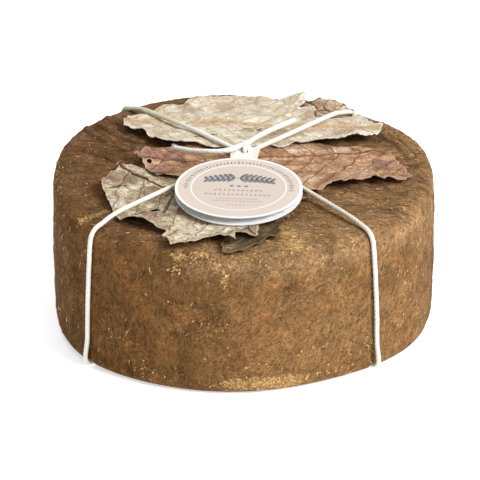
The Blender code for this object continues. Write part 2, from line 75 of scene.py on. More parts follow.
bpy.ops.object.camera_add(location=(VIEW_TARGET[0] * MM,
                                    (VIEW_TARGET[1] - VIEW_DISTANCE * math.cos(VIEW_ELEVATION)) * MM,
                                    VIEW_DISTANCE * math.sin(VIEW_ELEVATION) * MM))
camera = bpy.context.object
camera.data.lens = LENS
camera.data.sensor_width = 36.0
aim(camera, VIEW_TARGET)
bpy.context.scene.camera = camera

LAMPS = {
    "lamp_right": ((1340, -940, 1510), 1.1, 46.0),
    "lamp_above": ((-300, 700, 2100), 1.4, 16.0),
}
for lamp_name, (place, size, power) in LAMPS.items():
    bpy.ops.object.light_add(type="AREA", location=[c * MM for c in place])
    lamp = bpy.context.object
    lamp.name = lamp_name
    lamp.data.shape = "DISK"
    lamp.data.size = size
    lamp.data.energy = power
    aim(lamp, (0, 0, 40))

world = bpy.data.worlds.new("studio")
world.use_nodes = True
world.node_tree.nodes["Background"].inputs["Color"].default_value = (0.98, 0.99, 1.0, 1.0)
world.node_tree.nodes["Background"].inputs["Strength"].default_value = 0.36
bpy.context.scene.world = world
bpy.context.scene.view_settings.view_transform = "Standard"

bpy.ops.mesh.primitive_plane_add(size=PAPER_SIZE, location=(0, 0, -0.1 * MM))
paper = bpy.context.object
paper.name = "paper"


def new_finish(name):
    """Start a material: the nodes that are made from here on go into its tree."""
    global tree, shader
    material = bpy.data.materials.new(name)
    material.use_nodes = True
    tree = material.node_tree
    shader = tree.nodes["Principled BSDF"]
    return material


class Value:
    """What a node gives, with the signs of arithmetic, so that finishes read as sums."""

    def __init__(self, socket):
        self.socket = socket

    def __add__(self, other):
        return sum_of("ADD", self, other)

    def __sub__(self, other):
        return sum_of("SUBTRACT", self, other)

    def __rsub__(self, other):
        return sum_of("SUBTRACT", other, self)

    def __mul__(self, other):
        return sum_of("MULTIPLY", self, other)

    def __truediv__(self, other):
        return sum_of("DIVIDE", self, other)

    def __abs__(self):
        return sum_of("ABSOLUTE", self)


def node(kind, inputs=(), out=0, **settings):
    """One output of a new node with these settings, its inputs given as constants or values."""
    made = tree.nodes.new(kind)
    for name, value in settings.items():
        setattr(made, name, value)
    for socket, value in dict(inputs).items():
        if isinstance(value, Value):
            tree.links.new(value.socket, made.inputs[socket])
        else:
            made.inputs[socket].default_value = value
    return Value(made.outputs[out])


def sum_of(operation, first, second=0.0):
    """The result of a sum on constants or values."""
    return node("ShaderNodeMath", {0: first, 1: second, 2: 0.0}, operation=operation)


def ramp(value, low, high, start=0.0, end=1.0):
    """A soft step of a value: start up to low, end from high on."""
    return node("ShaderNodeMapRange", {"Value": value, "From Min": low, "From Max": high,
                                       "To Min": start, "To Max": end}, interpolation_type="SMOOTHSTEP")


def blend(share, first, second):
    """One colour mixed into another by a share."""
    colours = [(*c, 1.0) if isinstance(c, tuple) else c for c in (first, second)]
    return node("ShaderNodeMix", {0: share, 6: colours[0], 7: colours[1]}, 2, data_type="RGBA",
                blend_type="MIX")


def mapped(place, **settings):
    """A place turned, moved and squeezed for a grain."""
    return node("ShaderNodeMapping", {"Vector": place, **settings})


def on_piece():
    """The place on the piece, in metres."""
    return node("ShaderNodeTexCoord", out="Object")


def in_millimetres():
    """The place on the piece in millimetres."""
    return mapped(on_piece(), Scale=(1 / MM, 1 / MM, 1 / MM))


def cloud(place, size, detail=2.0, rough=0.5, wander=0.0):
    """Soft noise with patches of a size in the units of the place."""
    return node("ShaderNodeTexNoise", {"Vector": place, "Scale": 1.0 / size, "Detail": detail,
                                       "Roughness": rough, "Distortion": wander})


def wear(colour, roughness, relief, depth):
    """Give the finish its colour, its roughness and a relief in millimetres."""
    bump = node("ShaderNodeBump", {"Height": relief, "Distance": depth * MM})
    for socket, value in (("Base Color", colour), ("Roughness", roughness), ("Normal", bump)):
        tree.links.new(value.socket, shader.inputs[socket])


paper_finish = new_finish("white_paper")
fleck = cloud(in_millimetres(), 3.0)
wear(blend(fleck, (0.93, 0.94, 0.95), (0.95, 0.95, 0.95)), ramp(fleck, 0.3, 0.7, 0.85, 0.95), fleck, 0.01)
shader.inputs["Emission Color"].default_value = (0.97, 0.98, 1.0, 1.0)
shader.inputs["Emission Strength"].default_value = 0.54
paper.data.materials.append(paper_finish)

# The wheel of cheese. The curd is turned out of a round mould and ripens under a brown
# felted rind; the rims are rounded, and the wall is a little out of round.
WHEEL_RADIUS = 85.0
WHEEL_HEIGHT = 65.2
TOP_RIM_RADIUS = 6.5
FOOT_RADIUS = 4.5
WALL_BULGE = 0.5
RIND_RELIEF = 0.45
TOP_RELIEF = 0.5
WHEEL_SIDES = 160
SKIN_CELL = 1.05
OUTLINE_LOBES = ((1, 1.6, -166), (2, 0.4, -150), (3, 2.0, 5), (4, 0.9, 156), (5, 0.5, 137),
                 (6, 0.9, -167))
# Where each strand of twine crosses the rim and the foot, as angles from +X.
STRANDS = {
    "front_left": (-136.3, -138.3),
    "back_right": (49.8, 48.0),
    "front_right": (-49.8, -48.0),
    "back_left": (128.7, 130.0),
}
BASE_CROSSING = (-1.5, 5.4)
GROOVE_DEPTH = 3.0
HUMP_HEIGHT = 2.35
BASE_BELOW = 9.0
# The rind beside a strand: height, distance and reach of its lips, depth and reach of its notch.
LIP_HEIGHT = 0.55
LIP_DISTANCE = 3.1
LIP_REACH = 1.25
NOTCH_DEPTH = 0.45
NOTCH_REACH = 1.3
# Golden crust on the rind and a painted rim highlight: angle, height, reach along, reach up, strength.
# The last three rows lie along the left top rim, where they stand partly for a painted highlight of the lit
# rim.
CRUST_AND_RIM_LIGHT = ((-108.5, 63.0, 3.0, 2.2, 1.0), (-102.5, 64.2, 3.6, 1.5, 1.0), (-97.5, 60.0, 2.0, 3.0, 0.9),
         (-95.5, 54.0, 1.6, 4.0, 0.8), (-109.0, 56.5, 2.0, 3.5, 0.6), (-90.0, 63.5, 9.0, 1.6, 0.6),
         (-74.0, 65.0, 6.5, 1.2, 0.8), (-84.0, 4.6, 18.0, 4.6, 1.0), (-79.0, 3.2, 9.0, 3.0, 1.0),
         (-62.0, 5.6, 9.0, 1.4, 0.5), (-36.5, 35.0, 3.0, 9.0, 0.5), (-144.0, 64.6, 2.5, 1.5, 0.8),
         (-49.5, 13.0, 5.0, 3.0, 0.4), (-87.0, 12.0, 11.0, 4.0, 0.5), (-68.0, 17.0, 7.0, 4.0, 0.45),
         (-117.0, 7.0, 7.0, 4.0, 0.5), (-56.0, 9.0, 11.0, 2.5, 0.55), (-99.0, 30.0, 5.0, 6.0, 0.35),
         (-74.0, 41.0, 7.0, 6.0, 0.38), (-128.0, 20.0, 6.0, 5.0, 0.35), (-30.0, 15.0, 8.0, 6.0, 0.4),
         (150.0, 5.0, 30.0, 3.0, 0.6), (40.0, 6.0, 30.0, 3.0, 0.6), (95.0, 62.0, 20.0, 3.0, 0.6),
         (10.0, 40.0, 12.0, 9.0, 0.4), (100.0, 30.0, 18.0, 9.0, 0.4), (-170.0, 35.0, 10.0, 9.0, 0.35),
         (-98.0, 61.0, 26.0, 5.0, 0.46), (178.0, 62.5, 7.0, 3.0, 0.55), (165.0, 62.5, 18.0, 2.4, 0.44),
         (-170.0, 62.3, 10.0, 2.4, 0.44))
# Pleats that the cloth of the mould left in the top, as lines seen from above.
PLEATS = (((-70, 45), (-65, 36), (-59, 28), (-51, 21)), ((-64, 49), (-58, 41), (-52, 33), (-44, 28)),
          ((-68, 20), (-60, 14), (-52, 6)), ((-61, 56), (-56, 50), (-49, 46)),
          ((60, 38), (68, 27), (73, 13)))


def outline_radius(angle):
    """Radius of the wheel in a direction, with its lobes."""
    radius = WHEEL_RADIUS
    for waves, height, direction in OUTLINE_LOBES:
        radius = radius + height * np.cos(waves * angle - math.radians(direction))
    return radius


def soft_step(value, low, high):
    """A soft step from 0 at low to 1 at high."""
    share = np.clip((value - low) / (high - low), 0.0, 1.0)
    return share * share * (3.0 - 2.0 * share)


def lumps(x, y, z, size):
    """Noise with lumps of a size, from about -1 to 1."""
    return np.array([noise.noise((a / size, b / size, c / size)) for a, b, c in zip(x, y, z)])


def top_surface(x, y):
    """Height of the wheel's top, which never rises over its own height."""
    wave = 0.5 + 0.5 * np.array([noise.noise((a / 24.0, b / 24.0, 3.7)) for a, b in zip(x, y)])
    return WHEEL_HEIGHT - TOP_RELIEF * np.clip(wave, 0.0, 1.0)


def distance_to_line(x, y, points):
    """Distance in plan from each place to the nearest part of a line."""
    nearest = np.full(len(x), 1e9)
    for (x1, y1), (x2, y2) in zip(points, points[1:]):
        dx, dy = x2 - x1, y2 - y1
        share = np.clip(((x - x1) * dx + (y - y1) * dy) / (dx * dx + dy * dy), 0.0, 1.0)
        nearest = np.minimum(nearest, np.hypot(x - x1 - share * dx, y - y1 - share * dy))
    return nearest


def places_of(piece):
    """The corners of a piece as three rows of millimetres."""
    places = np.empty(len(piece.data.vertices) * 3, np.float32)
    piece.data.vertices.foreach_get("co", places)
    return places.reshape(-1, 3).T.astype(float) / MM


def move_to(piece, x, y, z):
    """Put the corners of a piece at places in millimetres."""
    places = np.stack((x, y, z), 1) * MM
    piece.data.vertices.foreach_set("co", places.astype(np.float32).ravel())
    piece.data.update()


def store(piece, name, values):
    """Keep one number for each corner of a piece, for its finish."""
    kept = piece.data.attributes.new(name, "FLOAT", "POINT")
    kept.data.foreach_set("value", np.asarray(values, np.float32))


def take(piece):
    """Select one piece alone and make it the active one."""
    bpy.ops.object.select_all(action="DESELECT")
    piece.select_set(True)
    bpy.context.view_layer.objects.active = piece


def settle(piece):
    """Put a piece's place, turn and size into its mesh."""
    take(piece)
    bpy.ops.object.transform_apply(location=True, rotation=True, scale=True)


def open_edit(piece, kind):
    """Go into edit mode on one piece with nothing selected."""
    take(piece)
    bpy.ops.object.mode_set(mode="EDIT")
    bpy.ops.mesh.select_mode(type=kind)
    bpy.ops.mesh.select_all(action="DESELECT")
    return bmesh.from_edit_mesh(piece.data)


def close_edit():
    """Leave edit mode."""
    bpy.ops.object.mode_set(mode="OBJECT")


def modify(piece, kind, **settings):
    """Add a modifier to a piece and apply it."""
    take(piece)
    bpy.ops.object.modifier_add(type=kind)
    modifier = piece.modifiers[-1]
    for name, value in settings.items():
        setattr(modifier, name, value)
    bpy.ops.object.modifier_apply(modifier=modifier.name)


def hand_over(piece, finish, slot, *nodes):
    """Give a piece its finish and its place in the frame. The slot is not used."""
    piece.data.materials.clear()
    piece.data.materials.append(finish)
    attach(piece, "root")
    if nodes:
        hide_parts(*nodes)


def foot_of(strand):
    """Where a strand meets the foot of the wall, seen from above."""
    angle = math.radians(STRANDS[strand][1])
    radius = float(outline_radius(angle))
    return radius * math.cos(angle), radius * math.sin(angle)


def pressed_base(x, y):
    """Height of the base where the twine has pressed into it, and 0 elsewhere."""
    height = np.zeros(len(x))
    for strand in STRANDS:
        line = (BASE_CROSSING, foot_of(strand))
        height = np.maximum(height, GROOVE_DEPTH * soft_step(distance_to_line(x, y, line), 2.9, 0.9))
    line = []
    for strand in ("front_right", "back_left"):
        fx, fy = foot_of(strand)
        reach = math.hypot(fx - BASE_CROSSING[0], fy - BASE_CROSSING[1])
        line.append((BASE_CROSSING[0] + (fx - BASE_CROSSING[0]) * 9.0 / reach,
                     BASE_CROSSING[1] + (fy - BASE_CROSSING[1]) * 9.0 / reach))
    deep = GROOVE_DEPTH + HUMP_HEIGHT
    return np.maximum(height, deep * soft_step(distance_to_line(x, y, line), 3.2, 1.2))


def strand_lips(angle, height):
    """Swelling of the wall beside each strand, which the taut twine has pushed up."""
    swell = np.zeros(len(angle))
    for rim, foot in STRANDS.values():
        line = np.radians(foot + (rim - foot) * height / WHEEL_HEIGHT)
        apart = WHEEL_RADIUS * np.abs(angle - line)
        lip = LIP_HEIGHT * np.exp(-((apart - LIP_DISTANCE) / LIP_REACH) ** 2)
        swell += lip - NOTCH_DEPTH * np.exp(-(apart / NOTCH_REACH) ** 2)
    return swell


def crust_and_rim_light_on(angle, height):
    """How much golden crust and painted rim highlight lies at a place on the rind, from 0 to 1."""
    crust_and_rim_light = np.zeros(len(angle))
    for middle, level, along, up, strength in CRUST_AND_RIM_LIGHT:
        turn = (np.degrees(angle) - middle + 180.0) % 360.0 - 180.0
        crust_and_rim_light = np.maximum(crust_and_rim_light, strength * np.exp(-(turn / along) ** 2 - ((height - level) / up) ** 2))
    return crust_and_rim_light


bpy.ops.mesh.primitive_cylinder_add(vertices=WHEEL_SIDES, radius=WHEEL_RADIUS * MM,
                                    depth=WHEEL_HEIGHT * MM, location=(0, 0, WHEEL_HEIGHT * MM / 2))
wheel = bpy.context.object
wheel.name = "cheese_wheel"
settle(wheel)
for level, rounding in ((WHEEL_HEIGHT, TOP_RIM_RADIUS), (0.0, FOOT_RADIUS)):
    mesh = open_edit(wheel, "EDGE")
    for edge in mesh.edges:
        edge.select_set(all(abs(v.co.z / MM - level) < 0.01 for v in edge.verts))
    bpy.ops.mesh.bevel(offset=rounding * MM, segments=8, affect="EDGES")
    close_edit()
modify(wheel, "REMESH", mode="VOXEL", voxel_size=SKIN_CELL * MM)

x, y, z = places_of(wheel)
angle, radius = np.arctan2(y, x), np.hypot(x, y)
on_side = soft_step(radius, WHEEL_RADIUS - TOP_RIM_RADIUS, WHEEL_RADIUS - 0.6)
on_top = soft_step(z, WHEEL_HEIGHT - TOP_RIM_RADIUS, WHEEL_HEIGHT)
radius = radius * outline_radius(angle) / WHEEL_RADIUS
x, y = radius * np.cos(angle), radius * np.sin(angle)
coarse = 0.7 * lumps(x, y, z * 1.5, 17.0) + 0.5 * lumps(x + 63.0, y, z * 0.8, 7.0) - 0.6
felt = 0.30 * lumps(x, y, z, 5.2) + 0.22 * lumps(x, y, z, 2.7)
crust_and_rim_light = crust_and_rim_light_on(angle, z)
flake = crust_and_rim_light * (0.35 + 1.1 * lumps(x, y, z * 1.6, 3.1))
ledge = soft_step(np.cos(angle - math.radians(-52)), 0.62, 0.95)
ledge = ledge * np.exp(-((z - 7.5) / 1.3) ** 2)
out = RIND_RELIEF * coarse - 0.45 + 0.45 * felt + 0.6 * flake + strand_lips(angle, z) - 0.55 * ledge
out += WALL_BULGE * np.sin(np.pi * np.clip(z / (WHEEL_HEIGHT - TOP_RIM_RADIUS), 0.0, 1.0))
radius += on_side * out * soft_step(z, 0.0, 3.0)
x, y = radius * np.cos(angle), radius * np.sin(angle)
# Beside each pleat a crease line is kept for the finish: painted shade on both sides of the ridge.
pleat, crease = np.full(len(x), -0.3), np.zeros(len(x))
for line in PLEATS:
    apart = distance_to_line(x, y, line)
    pleat = np.maximum(pleat, 1.25 * np.exp(-(apart / 1.4) ** 2) - 0.30)
    crease = np.maximum(crease, on_top * np.exp(-((apart - 2.2) / 0.85) ** 2))
z += on_top * (top_surface(x, y) - WHEEL_HEIGHT + 0.70 * felt - 0.15 + pleat + 0.5 * flake)
z = np.where(z < BASE_BELOW, np.maximum(z, pressed_base(x, y)), z)
move_to(wheel, x, y, z)
store(wheel, "crust_and_rim_light", crust_and_rim_light)
store(wheel, "crease", crease)
take(wheel)
bpy.ops.object.shade_smooth()


def axes_of(place):
    """The three numbers of a place."""
    split = node("ShaderNodeSeparateXYZ", {0: place}).socket.node
    return [Value(socket) for socket in split.outputs]


def stored(name):
    """The number that a piece keeps for each of its corners."""
    return node("ShaderNodeAttribute", out="Fac", attribute_name=name)


def scaled(colour, factor):
    """A colour made lighter or darker by a factor."""
    return node("ShaderNodeVectorMath", {0: colour, 3: factor}, operation="SCALE")


rind = new_finish("felted_rind")
place = in_millimetres()
drift = node("ShaderNodeTexNoise", {"Vector": place, "Scale": 1 / 14.0, "Detail": 2.0}, "Color")
swirl = node("ShaderNodeVectorMath", {0: drift, 1: (0.5, 0.5, 0.5)}, operation="SUBTRACT")
swirl = scaled(swirl, 0.006)
wandering = node("ShaderNodeVectorMath", {0: on_piece(), 1: swirl})
wandering_place = mapped(wandering, Scale=(1 / MM, 1 / MM, 1 / MM))


def hairs(turn, length, width, thinness):
    """Fine hairs that lie one way: thin lines where stretched noise crosses its middle."""
    turned = mapped(wandering, Rotation=[math.radians(t) for t in turn])
    drawn = mapped(turned, Scale=(1 / (MM * width), 1 / (MM * width), 1 / (MM * length)))
    value = cloud(drawn, 1.0, 2.0, 0.55)
    return ramp(abs(value - 0.5), 0.0, thinness, 1.0, 0.0)


upright = hairs((0, 8, 0), 9.0, 1.5, 0.085)
slanted = hairs((0, -38, 0), 9.0, 1.5, 0.085)
lying_right = hairs((0, 90, 46), 11.0, 1.6, 0.12)
lying_front = hairs((0, 90, -4), 11.0, 1.6, 0.12)
crossing = hairs((62, 0, 20), 7.0, 1.4, 0.06)
fine = hairs((20, -12, 50), 4.0, 0.55, 0.10)
patch = cloud(place, 15.0, 3.0)
to_right, to_back, above = axes_of(place)
rightward = ramp(to_right, -75.0, 60.0)
upward = ramp(above, 59.0, 64.5)
lean_share = ramp(rightward + patch, 0.7, 1.1)
wall_hair = upright * (1.0 - lean_share) + slanted * lean_share
wall_hair = sum_of("MAXIMUM", wall_hair, crossing * 0.8)
in_front = ramp(to_back, -44.0, -60.0)


def by_place(right, front):
    """A value of the top's right half, and another one in front."""
    return right * (1.0 - in_front) + front * in_front


top_hair = by_place(lying_right, lying_front) * ramp(rightward, 0.3, 0.62, 0.25, 1.0)
top_hair = sum_of("MAXIMUM", top_hair, crossing * 0.6)
hair = wall_hair * (1.0 - upward) + top_hair * upward
hair = sum_of("MAXIMUM", hair, fine * 0.6)
nap = cloud(wandering_place, 1.0, 3.0, 0.66)
clump = cloud(wandering_place, 3.4, 4.0, 0.65)
mottle = cloud(place, 9.0, 4.0, 0.6)
broad = cloud(place, 34.0, 2.0)
# Darker to the left and lighter to the right: partly the rind's own tone, partly painted shade on the left
# side and painted light on the right side.
tone_and_side_shade = rightward * 0.62 + broad * 0.5
colour = blend(ramp(tone_and_side_shade, 0.18, 0.64), (0.097, 0.0355, 0.0055), (0.206, 0.099, 0.037))
colour = blend(ramp(mottle, 0.5, 0.66, 0.0, 0.6), colour, (0.285, 0.118, 0.04))
colour = blend(ramp(cloud(place, 6.5, 3.0), 0.52, 0.66, 0.0, 0.6), colour, (0.108, 0.056, 0.017))
gold_patch = cloud(place, 5.2, 4.0, 0.68)
colour = blend(ramp(gold_patch, 0.56, 0.7, 0.0, 0.65), colour, (0.36, 0.195, 0.066))
grey_patch = ramp(cloud(place, 12.0, 3.0), 0.35, 0.65, 0.15, 0.75)
top_grey = upward * grey_patch * ramp(rightward, 0.15, 0.5, 0.55, 1.0)
colour = blend(top_grey, colour, (0.31, 0.178, 0.106))
# Dark streaks along the lying hairs of the top, strongest on the right: painted shade in the furrows
# between the fibres.
furrow_shade = by_place(hairs((0, 90, 44), 12.0, 2.4, 0.10), hairs((0, 90, -8), 12.0, 2.4, 0.10))
furrow_shade_share = ramp(rightward, 0.3, 0.65, 0.05, 0.72)
colour = scaled(colour, 1.0 - furrow_shade * (upward * furrow_shade_share))
# A paler band high on the wall and over the rounded rim on the right, fading onto the top: a painted
# highlight where the rim catches the light.
painted_rim_light = ramp(above, 50.0, 60.0) * ramp(rightward, 0.1, 0.6)
rim_light_fade = upward * ramp(in_front, 0.0, 1.0, 0.8, 0.45)
colour = blend(painted_rim_light * (0.8 - rim_light_fade), colour, (0.44, 0.27, 0.135))
colour = scaled(colour, ramp(nap, 0.34, 0.66, 0.5, 1.54))
colour = scaled(colour, ramp(clump, 0.34, 0.66, 0.7, 1.28))
colour = scaled(colour, ramp(cloud(place, 11.0, 3.0, 0.6), 0.34, 0.66, 0.68, 1.28))
# The hairs in the finish are lighter to the right as well, partly painted light on the right side.
hair_colour = blend(rightward, (0.235, 0.11, 0.028), (0.44, 0.25, 0.098))
colour = blend(hair * ramp(patch, 0.3, 0.62, 0.28, 0.75), colour, hair_colour)
# Darker along the creases beside the pleats: painted shade.
colour = scaled(colour, ramp(stored("crease"), 0.0, 1.0, 1.0, 0.4))
dark_spot = ramp(cloud(place, 2.0, 4.0, 0.7), 0.6, 0.72, 0.0, 0.75)
colour = blend(dark_spot, colour, (0.06, 0.026, 0.009))
break_up = cloud(wandering_place, 1.6, 5.0, 0.8)
# Golden crust where the rows above put it; along the left top rim this gold is partly a painted highlight.
crust_and_rim_light_share = ramp(stored("crust_and_rim_light") * 0.62 + break_up * 1.25, 0.9, 1.12, 0.0, 0.95)
crust_and_rim_light_colour = blend(ramp(nap, 0.35, 0.65), (0.38, 0.18, 0.055), (0.82, 0.55, 0.22))
colour = blend(crust_and_rim_light_share, colour, crust_and_rim_light_colour)
grit = node("ShaderNodeTexVoronoi", {"Vector": place, "Scale": 1 / 6.2, "Randomness": 1.0}, "Distance")
speck = ramp(grit, 0.05, 0.085, 1.0, 0.0)
colour = blend(speck, colour, (0.72, 0.5, 0.26))
relief = hair * 0.35 + nap * 1.0 + clump * 1.3 + crust_and_rim_light_share * 0.35
wear(colour, ramp(nap, 0.2, 0.8, 0.95, 0.75), relief, 0.75)
shader.inputs["Sheen Weight"].default_value = 0.05
shader.inputs["Sheen Roughness"].default_value = 0.45
shader.inputs["Sheen Tint"].default_value = (0.95, 0.72, 0.45, 1.0)
shader.inputs["Specular IOR Level"].default_value = 0.10
hand_over(wheel, rind, "rind", "cheese")

# Loose hairs, straw and scales of the rind. The mould that grows on the cheese dries to thin
# pale hairs on the felt, bits of straw from the shelf cling to it, and the crust at the rims
# breaks into golden scales.
HAIR_COUNT = 6800
SCALE_COUNT = 620
STRAW_COUNT = 420
skin = BVHTree.FromObject(wheel, bpy.context.evaluated_depsgraph_get())


def polar(radius, angle, height=0.0):
    """A place from its radius, its angle and its height."""
    return Vector((radius * math.cos(angle), radius * math.sin(angle), height))


def skin_near(place):
    """The nearest place on the rind and the way out of it."""
    found, way, _, _ = skin.find_nearest(Vector(place) * MM)
    return found / MM, way


def lay_thread(corners, faces, points, thickness, sides=3, taper=0.0):
    """Add one thin thread along points, pinched at both ends, thinner to its end by a share."""
    start = len(corners)
    count = len(points)
    for i, point in enumerate(points):
        along = (points[min(i + 1, count - 1)] - points[max(i - 1, 0)]).normalized()
        across = along.orthogonal().normalized()
        other = along.cross(across)
        girth = thickness * (0.35 if i in (0, count - 1) else 1.0 - taper * i / count)
        for k in range(sides):
            turn = 2 * math.pi * k / sides
            corners.append((point + (across * math.cos(turn) + other * math.sin(turn)) * girth) * MM)
    for i in range(count - 1):
        for k in range(sides):
            a, b = start + sides * i + k, start + sides * i + (k + 1) % sides
            faces.append((a, b, b + sides, a + sides))
    faces.append([start + k for k in reversed(range(sides))])
    last = start + sides * (count - 1)
    faces.append([last + k for k in range(sides)])


def new_piece(name, data):
    """A new object of a mesh or a curve, selected alone."""
    piece = bpy.data.objects.new(name, data)
    bpy.context.scene.collection.objects.link(piece)
    take(piece)
    return piece


def made_of(name, corners, faces):
    """One object from the corners and faces of many small bodies."""
    mesh = bpy.data.meshes.new(name)
    mesh.from_pydata(corners, [], faces)
    made = new_piece(name, mesh)
    bpy.ops.object.mode_set(mode="EDIT")
    bpy.ops.mesh.select_all(action="SELECT")
    bpy.ops.mesh.normals_make_consistent(inside=False)
    close_edit()
    bpy.ops.object.shade_smooth()
    return made


def stray(spread, draw):
    """A random step, mostly shorter than the spread along each axis."""
    return Vector([draw.gauss(0, spread) for _ in range(3)])


def lie_on_top(place):
    """The way that hairs lie on the top: level in front, aslant behind."""
    share = float(soft_step(place.y, -60.0, -44.0))
    turn = math.radians(6.0 - 52.0 * share)
    return polar(1.0, turn)


def place_on_rind(draw):
    """A random place on the top or the wall, and the way that hairs lie there."""
    angle = draw.uniform(-math.pi, math.pi)
    radius = float(outline_radius(angle))
    if draw.random() < 0.42:
        radius *= math.sqrt(draw.random())
        middle = polar(radius, angle, WHEEL_HEIGHT)
        return middle, lie_on_top(middle)
    height = draw.uniform(1.5, WHEEL_HEIGHT)
    tangent = Vector((-math.sin(angle), math.cos(angle), 0.0))
    lean = 0.25 + 0.75 * min(max((math.cos(angle) + 0.5), 0.0), 1.0)
    lie = tangent * lean + Vector((0.0, 0.0, 0.9))
    return polar(radius, angle, height), lie


def thread_on_rind(middle, lie, length, bend, count, base, lift, floor):
    """Points of a bent thread on the rind, each a base and a random lift over it."""
    thread = []
    for k in range(count):
        share = k / (count - 1) - 0.5
        found, way = skin_near(middle + lie * length * share + bend * length * share * share)
        spot = found + way * (base + draw.uniform(*lift))
        spot.z = max(spot.z, floor)
        thread.append(spot)
    return thread


def plain_finish(name, patch, detail, reach, dark, light, rough, grain, depth):
    """A dull finish in patches from dark to light, with a fine grain."""
    finish = new_finish(name)
    place = in_millimetres()
    tint = cloud(place, patch, detail)
    wear(blend(ramp(tint, *reach), dark, light), ramp(tint, 0.3, 0.7, *rough), cloud(place, grain), depth)
    return finish


draw = random.Random(11)
hair_corners, hair_faces = [], []
for _ in range(HAIR_COUNT):
    middle, lie = place_on_rind(draw)
    lie = (lie.normalized() + stray(0.42, draw)).normalized()
    bend = stray(0.25, draw)
    thread = thread_on_rind(middle, lie, draw.uniform(1.2, 5.0), bend, 5, 0.0, (0.02, 0.16), 0.25)
    lay_thread(hair_corners, hair_faces, thread, draw.uniform(0.05, 0.12))
rind_hair = made_of("rind_hairs", hair_corners, hair_faces)
hair_finish = plain_finish("dry_mould_hair", 6.0, 2.0, (0.35, 0.65), (0.22, 0.098, 0.022),
                           (0.44, 0.245, 0.085), (0.7, 0.85), 0.3, 0.05)
hand_over(rind_hair, hair_finish, "rind")

straw_corners, straw_faces = [], []
for number in range(STRAW_COUNT):
    middle, lie = place_on_rind(draw)
    if number % 2:
        turn, reach = math.radians(draw.uniform(-130, 25)), draw.uniform(0.45, 0.97) * WHEEL_RADIUS
        middle = polar(reach, turn, WHEEL_HEIGHT)
        lie = lie_on_top(middle)
    lie = (lie.normalized() + stray(0.35, draw)).normalized()
    length, girth = draw.uniform(0.8, 3.8), draw.uniform(0.11, 0.24)
    if number % 9 == 0:
        length, girth = draw.uniform(4.0, 8.0), draw.uniform(0.06, 0.09)
    thread = thread_on_rind(middle, lie, length, stray(0.5, draw), 6, girth * 0.6, (0.0, 0.12), 0.4)
    lay_thread(straw_corners, straw_faces, thread, girth)
straw = made_of("straw_bits", straw_corners, straw_faces)
straw_finish = plain_finish("pale_straw", 3.0, 2.0, (0.4, 0.6), (0.56, 0.30, 0.10), (0.88, 0.62, 0.33),
                            (0.75, 0.9), 0.3, 0.05)
shader.inputs["Specular IOR Level"].default_value = 0.15
hand_over(straw, straw_finish, "rind")

# The scales are strewn over all the crust rows, also over those on the left top rim that stand partly for a
# painted highlight.
scale_corners, scale_faces = [], []
for _ in range(SCALE_COUNT):
    middle, level, along, up, strength = draw.choice(CRUST_AND_RIM_LIGHT)
    angle = math.radians(draw.gauss(middle, along * 0.55))
    height = min(draw.gauss(level, up * 0.55), WHEEL_HEIGHT + 0.5)
    radius = float(outline_radius(angle)) - max(height - 62.0, 0.0) * 0.8
    found, way = skin_near(polar(radius, angle, max(height, 0.8)))
    across = way.orthogonal().normalized()
    other = way.cross(across)
    size = draw.uniform(0.30, 1.15) * (0.5 + 0.5 * strength)
    spin = draw.uniform(0, 2 * math.pi)
    start = len(scale_corners)
    for k in range(6):
        turn = spin + 2 * math.pi * k / 6
        reach = size * draw.uniform(0.35, 1.30)
        lift = draw.uniform(0.00, 0.24)
        rim = found + (across * math.cos(turn) * reach + other * math.sin(turn) * reach * 0.6)
        scale_corners.append((rim + way * lift) * MM)
    scale_corners.append((found + way * 0.26) * MM)
    scale_corners.append((found - way * 0.25) * MM)
    for k in range(6):
        a, b = start + k, start + (k + 1) % 6
        scale_faces.append((a, b, start + 6))
        scale_faces.append((b, a, start + 7))
scales = made_of("crust_scales", scale_corners, scale_faces)
scale_finish = plain_finish("golden_crust", 1.6, 3.0, (0.35, 0.68), (0.36, 0.175, 0.055),
                            (0.78, 0.52, 0.21), (0.55, 0.8), 0.4, 0.08)
hand_over(scales, scale_finish, "rind")

# The dry chestnut leaves. Five old leaves, brown to pale grey, lie one over another on the
# top; they are thin, crumpled and torn, with the midrib and side veins standing out.
LEAF_REST = 0.45
LEAF_THICKNESS = 0.5
BLADE_THICKNESS = 0.34
LEAF_GAP = 0.45
LEAF_CELL = 0.85
DRAPE_REACH = 12.0
CROSSING = (0.5, 5.2, 69.8)
# The tag lies over the leaves: its middle, its turn, its reach and its lower card's slope.
TAG_CENTRE = (-2.1, -35.3)
TAG_TURN = math.radians(-4.4)
TAG_RADIUS = 27.0
TAG_FOLD = 36.9
TAG_HOLE = 32.9
FOLD_HEIGHT = 74.3
BACK_SLOPE = 0.094
